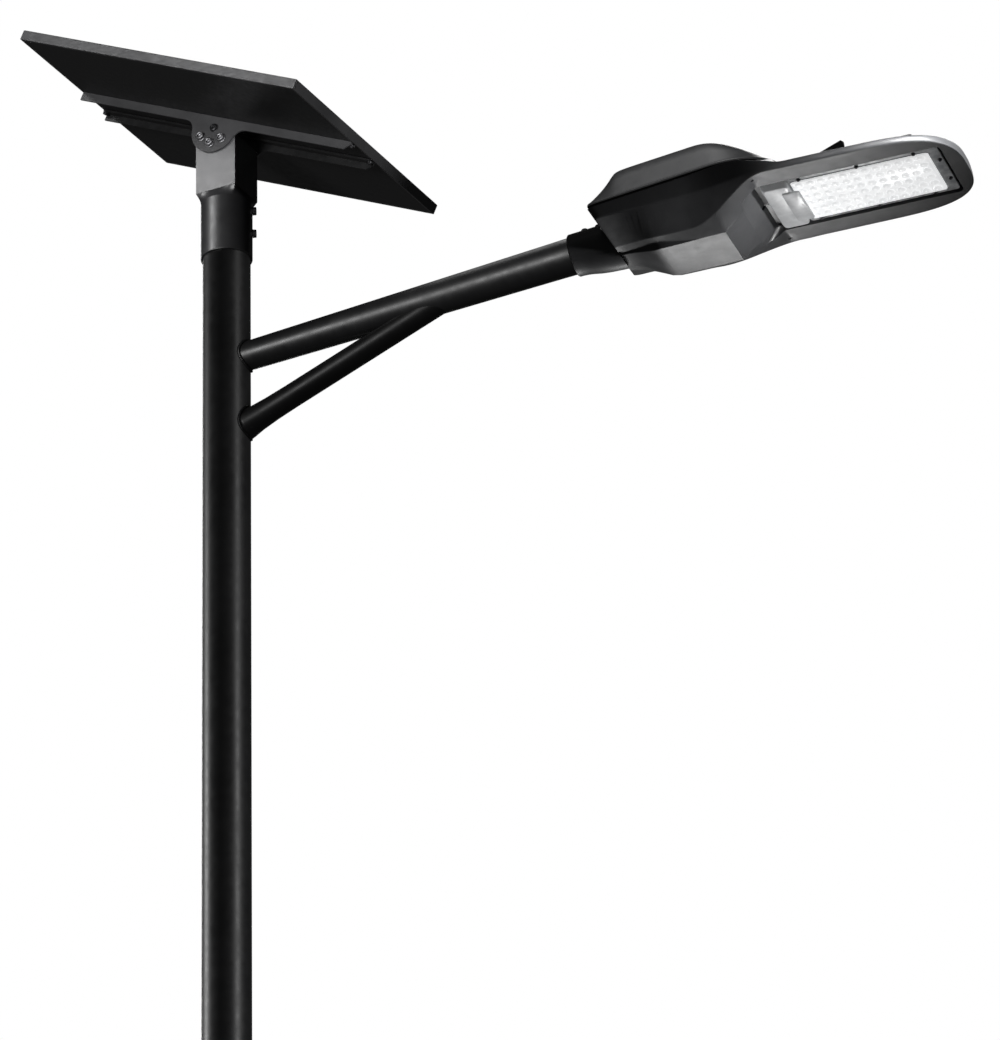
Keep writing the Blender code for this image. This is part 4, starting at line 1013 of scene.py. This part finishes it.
def lid_section(s):
    kr = rear_round(s, 14)
    w = lid_half(s) * kr
    base = seam_h(s) + 4.4
    rise = max(0.6, lid_top(s) - base - 4)
    half = [(w, base), (w + 0.6, base + 3.0), (max(0.3, w - 1.2), base + 5.0), (max(0.2, w * 0.9 - 4), base + 5 + rise * 0.72),
            (max(0.1, w * 0.84 - 8), base + 5 + rise * 0.97), (max(0.05, w * 0.5), base + 5 + rise * 1.03), (0.0, base + 5 + rise * 1.04)]
    pts = half + [(-t, h) for t, h in reversed(half[:-1])]
    k = 0.30 * (1 - smooth(s, TUB_REAR, 705))
    ring = [W(s + k * (h - base), t, h) for t, h in pts]
    out = [ring[0]]
    n = len(ring)
    radii = [None, 1.0, 1.0, 10.0, 12.0, 14.0, None, 14.0, 12.0, 10.0, 1.0, 1.0, None]
    for i in range(1, n - 1):
        p, a, b, r = ring[i], ring[i - 1], ring[i + 1], radii[i]
        if r is None:
            out.append(p)
            continue
        da, db = a - p, b - p
        p0 = p + da.normalized() * min(r * MM, 0.45 * da.length)
        p2 = p + db.normalized() * min(r * MM, 0.45 * db.length)
        for j in range(5):
            u = j / 4
            out.append(p0 * (1 - u) ** 2 + p * 2 * u * (1 - u) + p2 * u * u)
    out.append(ring[-1])
    return out


def lid_piece():
    st = [642, 642.8, 644, 646, 648, 650, 652.5, 655.5, 659, 663, 668, 673, 678, 684, 690, 697, 704, 712, 722, 735, 750, 765, 780, 795, 810]
    st += [818 + 4 * i for i in range(32)] + [944, 945.4]
    st = sorted(set(x for x in st if x <= 945.4))
    bm = bmesh.new()
    rows = loft(bm, [lid_section(s) for s in st], closed=False, cap=False)
    for row in (rows[0], rows[-1]):
        bm.faces.new(row)
    bmesh.ops.recalc_face_normals(bm, faces=bm.faces)
    bm.normal_update()
    crown = max(bm.faces, key=lambda f: f.calc_center_median().dot(UP))
    if crown.normal.dot(UP) < 0:
        bmesh.ops.reverse_faces(bm, faces=bm.faces)
    ob = finish_bm("battery_lid_shape", bm, LIDM, "lid", ("battery_lid",), angle=30, normals=False)
    m = ob.modifiers.new("shell", 'SOLIDIFY')
    m.thickness = 2.6 * MM
    m.offset = -1.0
    bake(ob, 30)
    HS, HH = 953.0, 25.0
    bm = bmesh.new()
    corners = ((600, -150), (1000, -150), (1000, 150), (600, 150))
    loft(bm, [[W(a, t, -30) for a, t in corners], [W(a, t, seam_h(a) + 4.2) for a, t in corners]])
    booleans(ob, [(bare("trim", bm), 'DIFFERENCE')], 30)
    # hinge knuckle with its web, rooted in the lid's nose
    bm = bmesh.new()
    turned(bm, W(HS, -17, HH), Vector((0, 1, 0)), [(0, 4.6), (0.5, 5.0), (33.5, 5.0), (34, 4.6)], 32)
    kn = finish_bm("battery_lid_knuckle", bm, LIDM, "lid", (), angle=38)
    bm = bmesh.new()
    web = [(942.4, -17, HH - 3), (HS, -17, HH - 3), (HS, 17, HH - 3), (942.4, 17, HH - 3)]
    loft(bm, [[W(*p) for p in web], [W(a, t, h + 6) for a, t, h in web]])
    booleans(kn, [(bare("web", bm), 'UNION'), (cyl_cut(W(HS, -40, HH), Vector((0, 1, 0)), 2.8, 80), 'DIFFERENCE')], 38)


lid_piece()
refine("lid_latch", "latch", ZINC, 0.3)
refine("lid_gasket", "luminaire", RUBBER, 0.0)
bm = bmesh.new()
turned(bm, W(953.0, -30, 25.0), Vector((0, 1, 0)), [(0, 1.9), (0.6, 2.5), (59.4, 2.5), (60, 1.9)], 28)
finish_bm("lid_hinge_pin_shape", bm, ZINC, "luminaire", ("lid_hinge_pin",), angle=38)


# ------------------------------------------------------------------ battery and controller
def bay_contents():
    bm = bmesh.new()
    # wrapped cells standing side by side: scalloped outline
    x0, x1, y0, y1 = 736.5, 825.5, -45.5, 45.5
    n = 12
    out = []

    def scallop(ax0, ax1, cnt):
        for i in range(cnt):
            for j in range(6):
                yield ax0 + (ax1 - ax0) * (i + j / 6) / cnt, math.sin(math.pi * j / 6) ** 0.6

    for v, k in scallop(y0, y1, 5):
        out.append((x1 - 2.2 + 2.2 * k, v))
    for v, k in scallop(x1, x0, 4):
        out.append((v, y1 - 2.2 + 2.2 * k))
    for v, k in scallop(y1, y0, 5):
        out.append((x0 + 2.2 - 2.2 * k, v))
    for v, k in scallop(x0, x1, 4):
        out.append((v, y0 + 2.2 - 2.2 * k))
    loft(bm, [[W(mix(s, 783, k), mix(t, 0, k), h) for s, t in out] for h, k in ((-38, 0.03), (-36.5, 0.0), (0.2, 0.0), (1.4, 0.02), (1.9, 0.06))])
    finish_bm("battery_pack_shape", bm, WRAP, "luminaire", ("battery_pack",), angle=40)
    refine("charge_controller", "luminaire", PLASTIC, 0.8, 2)
    for k, (mat, dy) in enumerate(((WIRE_R, 22.0), (WIRE_K, 30.0))):
        pts = []
        for i in range(17):
            u = i / 16
            pts.append(W(mix(722, 748, u), mix(dy, dy + 6, u), -13 + 18 * math.sin(math.pi * u * 0.86)))
        bm = bmesh.new()
        tube(bm, pts, 1.3 * MM, 8)
        finish_bm("battery_lead_%d" % (k + 1), bm, mat, "luminaire", (), angle=60)


bay_contents()


# ------------------------------------------------------------------ LED module
def led_module():
    L0, L1, LW = 950.0, 1188.0, 68.0

    def pl(d):
        return lambda s: head_h(s) + d

    bm = bmesh.new()
    loft(bm, [rrect(L0, L1, LW, pl(8.6), 5), rrect(L0, L1, LW, pl(7.2), 5), rrect(L0 + 0.3, L1 - 0.3, LW - 0.3, pl(7.0), 5)])
    finish_bm("led_board_shape", bm, BOARD, "luminaire", ("led_board",), angle=35)
    refine("lens_gasket", "luminaire", RUBBER, 0.0)
    # flange with a shallow step, then the raised diffuser with rows of optics
    bm = bmesh.new()
    loft(bm, [rrect(L0 + 0.4, L1 - 0.4, LW - 0.4, pl(5.1), 5), rrect(L0, L1, LW, pl(4.8), 5), rrect(L0, L1, LW, pl(3.1), 5), rrect(L0 + 0.6, L1 - 0.6, LW - 0.6, pl(2.7), 5)])
    finish_bm("lens_plate_shape", bm, FLANGE, "luminaire", ("lens_plate",), angle=30)
    bm = bmesh.new()
    loft(bm, [rrect(L0 + 3, L1 - 17, LW - 9, pl(2.8), 6), rrect(L0 + 3.2, L1 - 17.2, LW - 9.2, pl(1.2), 6), rrect(L0 + 4.5, L1 - 18.5, LW - 10.5, pl(0.2), 6)])
    n_s, n_t = 12, 6
    for i in range(n_s):
        for j in range(n_t):
            s = L0 + 15 + i * (L1 - L0 - 45) / (n_s - 1)
            t = -LW + 19 + j * (2 * LW - 38) / (n_t - 1)
            o = W(s, t, head_h(s) + 0.4)
            prof = [(-0.2, 7.6)] + [(3.0 * math.sin(math.radians(a)), 7.4 * math.cos(math.radians(a))) for a in (0, 18, 36, 54, 70, 82)]
            dn = -UP
            turned(bm, o, dn, prof, 18)
    finish_bm("lens_optics", bm, LIT, "luminaire", (), angle=50)
    # a thin bead round the diffuser
    bm = bmesh.new()
    ring = rrect(L0 + 1.6, L1 - 15.6, LW - 7.4, pl(2.4), 7)
    tube(bm, ring, 0.9 * MM, 8, closed=True)
    finish_bm("lens_bead", bm, FLANGE, "luminaire", (), angle=60)
    # driver cover: stepped clear block behind the lens
    bm = bmesh.new()
    loft(bm, [rrect(906.5, 949.0, 63.5, pl(8.2), 5), rrect(906, 949.2, 64, pl(7.6), 5), rrect(907, 949.2, 63, pl(-1.0), 6), rrect(909, 948.6, 61, pl(-4.4), 6), rrect(910.2, 947.4, 59.8, pl(-5.0), 5.5)])
    finish_bm("driver_cover_shape", bm, DRIVER, "luminaire", ("driver_cover",), angle=30)
    bm = bmesh.new()
    loft(bm, [rrect(934, 962, 44, pl(-4.6), 4), rrect(934.4, 961.6, 43.6, pl(-7.0), 4), rrect(935.4, 960.6, 42.6, pl(-7.6), 3.5)])
    finish_bm("driver_cover_step", bm, DRIVER, "luminaire", (), angle=30)
    screws = [(968, -63), (1060, -63), (1150, -63), (968, 63), (1060, 63), (1150, 63), (1183, -30), (1183, 30)]
    for n, (s, t) in enumerate(screws):
        o = W(s, t, head_h(s) + 2.6)
        cap_screw("lens_screw_%d_shape" % (n + 1), o, -UP, 2.9, 2.2, "luminaire", ("lens_screw_%d" % (n + 1),), mat=DARK, washer=(3.9, 0.6), shank=(1.6, 2.4))


led_module()


def top_pieces():
    refine("heat_sink", "luminaire", COAT, 0.3)
    # head screws on the rim's upper face
    for n, (s, t) in enumerate(((1164, -76), (1164, 76), (1201, -34), (1201, 34))):
        o = W(s, t, head_h(s) + 16.6)
        cap_screw("rim_screw_%d" % (n + 1), o, UP, 5.4, 5.2, "luminaire", (), mat=BLACKBOLT, washer=(6.4, 1.0), shank=(2.0, 2.0))
    for n, t in enumerate((-97, 97)):
        o = W(905, t, low_h(905) + 4.0)
        cap_screw("frame_screw_%s" % ("near" if t < 0 else "far"), o, -UP, 2.3, 2.0, "luminaire", (), mat=BLACKBOLT, shank=(1.4, 3.0))


top_pieces()


# ------------------------------------------------------------------ floor
def floor():
    bm = bmesh.new()
    rings = []
    for r, z in ((3.55, -0.012), (3.6, -0.006), (3.6, -0.002), (3.58, -0.0006)):
        rings.append([Vector((r * math.cos(2 * math.pi * i / 128), r * math.sin(2 * math.pi * i / 128), z)) for i in range(128)])
    loft(bm, rings)
    m = Mat("m_floor", (0.80, 0.80, 0.80), 0.7)
    n1 = m.noise(1.2, 5.0)
    m.link(m.mix(m.ranged(n1, 0.3, 0.7, 0.0, 1.0), (0.78, 0.78, 0.78), (0.83, 0.83, 0.83)), m.b.inputs["Base Color"])
    m.link(m.bump(m.noise(90.0, 4.0), 0.04, 0.001), m.b.inputs["Normal"])
    ob = finish_bm("floor", bm, m, None)
    ob.visible_diffuse = False
    ob.visible_glossy = False


floor()

# ------------------------------------------------------------------ world and lights
world = bpy.data.worlds.new("world")
scene.world = world
world.use_nodes = True
wn = world.node_tree
for n in list(wn.nodes):
    wn.nodes.remove(n)
out = wn.nodes.new("ShaderNodeOutputWorld")
mixs = wn.nodes.new("ShaderNodeMixShader")
lp = wn.nodes.new("ShaderNodeLightPath")
see = wn.nodes.new("ShaderNodeBackground")
lit = wn.nodes.new("ShaderNodeBackground")
see.inputs[0].default_value = (1, 1, 1, 1)
see.inputs[1].default_value = 1.0
lit.inputs[0].default_value = (1, 1, 1, 1)
lit.inputs[1].default_value = 0.035
wn.links.new(lp.outputs["Is Camera Ray"], mixs.inputs[0])
wn.links.new(lit.outputs[0], mixs.inputs[1])
wn.links.new(see.outputs[0], mixs.inputs[2])
wn.links.new(mixs.outputs[0], out.inputs[0])


def area(name, pos, target, size, power, shape='RECTANGLE', spread=180.0):
    li = bpy.data.lights.new(name, 'AREA')
    li.shape = shape
    li.size, li.size_y = size
    li.energy = power
    li.spread = math.radians(spread)
    ob = bpy.data.objects.new(name, li)
    scene.collection.objects.link(ob)
    ob.location = Vector(pos)
    ob.rotation_mode = 'QUATERNION'
    ob.rotation_quaternion = (Vector(target) - Vector(pos)).to_track_quat('-Z', 'Y')
    ob.visible_camera = False
    return ob


GROUPS = {}


def group(name):
    if name not in GROUPS:
        GROUPS[name] = bpy.data.collections.new("light_" + name)
    return GROUPS[name]


for ob in list(scene.objects):
    if ob.type != 'MESH':
        continue
    n = ob.name
    if n == "floor":
        g = "stage"
    elif n.startswith("arm_"):
        g = "arm"
    elif n.startswith("brace_"):
        g = "brace"
    elif n.startswith(("pole_", "base_")):
        g = "pole"
    elif n.startswith("adapter_"):
        g = "box"
    elif n.startswith(("sleeve_", "pivot_", "rail", "clamp_plate", "lock_bolt", "panel_", "junction", "frame_screw_1", "frame_screw_2")):
        g = "head"
    elif n.startswith("battery_lid"):
        g = "lid"
    elif n.startswith(("lens_", "driver_", "led_")):
        g = "lens"
    elif n.startswith(("heat_sink", "lid_gasket")):
        g = "dark"
    else:
        g = "lum"
    group(g).objects.link(ob)


def only(light, *names):
    """the light falls on these groups and leaves the rest alone"""
    c = bpy.data.collections.new("receivers_" + light.name)
    for nm in names:
        for ob in group(nm).objects:
            c.objects.link(ob)
    light.light_linking.receiver_collection = c


TO_CAM = Vector((0.291, -0.846, -0.446)).normalized()


def mirrored(at, normal, dist):
    """where a lamp must stand to shine off a flat face at this point toward the main camera"""
    n = Vector(normal).normalized()
    return Vector(at) + (2 * TO_CAM.dot(n) * n - TO_CAM) * dist


# pole: tall softbox far left, a weak strip right
only(area("pole_left", (-4.2, -0.5, 2.2), (0, 0, 2.2), (0.8, 4.4), 170), "pole")
only(area("pole_right", (3.8, -1.2, 2.2), (0, 0, 2.2), (0.5, 4.4), 95), "pole")
only(area("frame_right", (3.8, -1.2, 1.4), (0, 0, 3.2), (0.8, 0.8), 110), "head")
# arm and brace: a long strip in front, level with the arm
only(area("arm_strip", (-1.1, -4.2, 2.5), (0.3, 0, 2.85), (3.4, 0.9), 170), "arm")
only(area("brace_strip", (-1.1, -4.2, 2.9), (0.3, 0, 2.85), (3.4, 0.9), 60), "brace")
# panel head: a soft panel in front, left and low; one above that streaks the near frame; a tall strip for the sleeve
only(area("head_front", (-1.4, -4.2, 2.2), (0, 0, 3.2), (1.2, 1.6), 150), "head", "box")
only(area("head_streak", mirrored((-0.07, -0.23, 3.3), HEAD_M @ Vector((0, -1, 0)), 4.0), (-0.07, -0.23, 3.3), (0.30, 1.0), 24), "head")
only(area("box_glow", mirrored((0.03, -0.035, 3.11), HEAD_M @ Vector((0, -1, 0)), 0.9), (0.03, -0.035, 3.11), (0.22, 0.12), 1.0), "box")
only(area("sleeve_strip", (-3.3, -2.9, 4.9), (0, 0, 3.05), (0.6, 2.0), 90), "box")
# luminaire: lid from the front and above, belly from below and beyond, pocket from the right, tip in its own plane
only(area("lid_front", (0.9, -2.4, 6.0), (0.75, 0, 2.95), (1.8, 0.8), 115), "lid")
only(area("belly", (0.70, 0.75, 2.1), (0.70, 0, 2.85), (0.5, 0.3), 0.75, spread=44), "lum", "lens")
only(area("head_under", (2.6, 0.6, 2.3), (0.95, 0, 2.9), (0.6, 0.6), 1.3), "lum")
only(area("lens_fill", (2.6, 0.6, 2.3), (0.95, 0, 2.9), (0.6, 0.6), 4.4), "lens")
only(area("lum_top", (0.9, 2.5, 5.5), (0.9, 0, 2.9), (1.6, 1.0), 40), "lum", "lid", "dark")
only(area("pocket", (1.9, -0.2, 2.62), (0.84, -0.02, 2.885), (0.15, 0.15), 0.30, spread=14), "lum")
only(area("lum_soft", (0.9, -2.4, 6.0), (0.75, 0, 2.95), (1.8, 0.8), 3), "lum", "dark")
only(area("tip_rim", (2.07, -1.97, 3.04), (1.22, -0.07, 2.95), (0.2, 0.1), 3.0, spread=12), "lum")
only(area("top", (0.6, 0.4, 6.2), (0.5, 0, 2.8), (3.0, 2.4), 45), "head", "arm", "brace", "box")
# a weak soft panel behind, for the far side
only(area("behind", (-2.6, 4.4, 4.2), (0.3, 0, 2.4), (2.4, 3.0), 130), "pole", "arm", "brace", "box", "lid", "dark")
only(area("stage_top", (0, 0, 6.0), (0, 0, 0), (5.0, 5.0), 900), "stage")
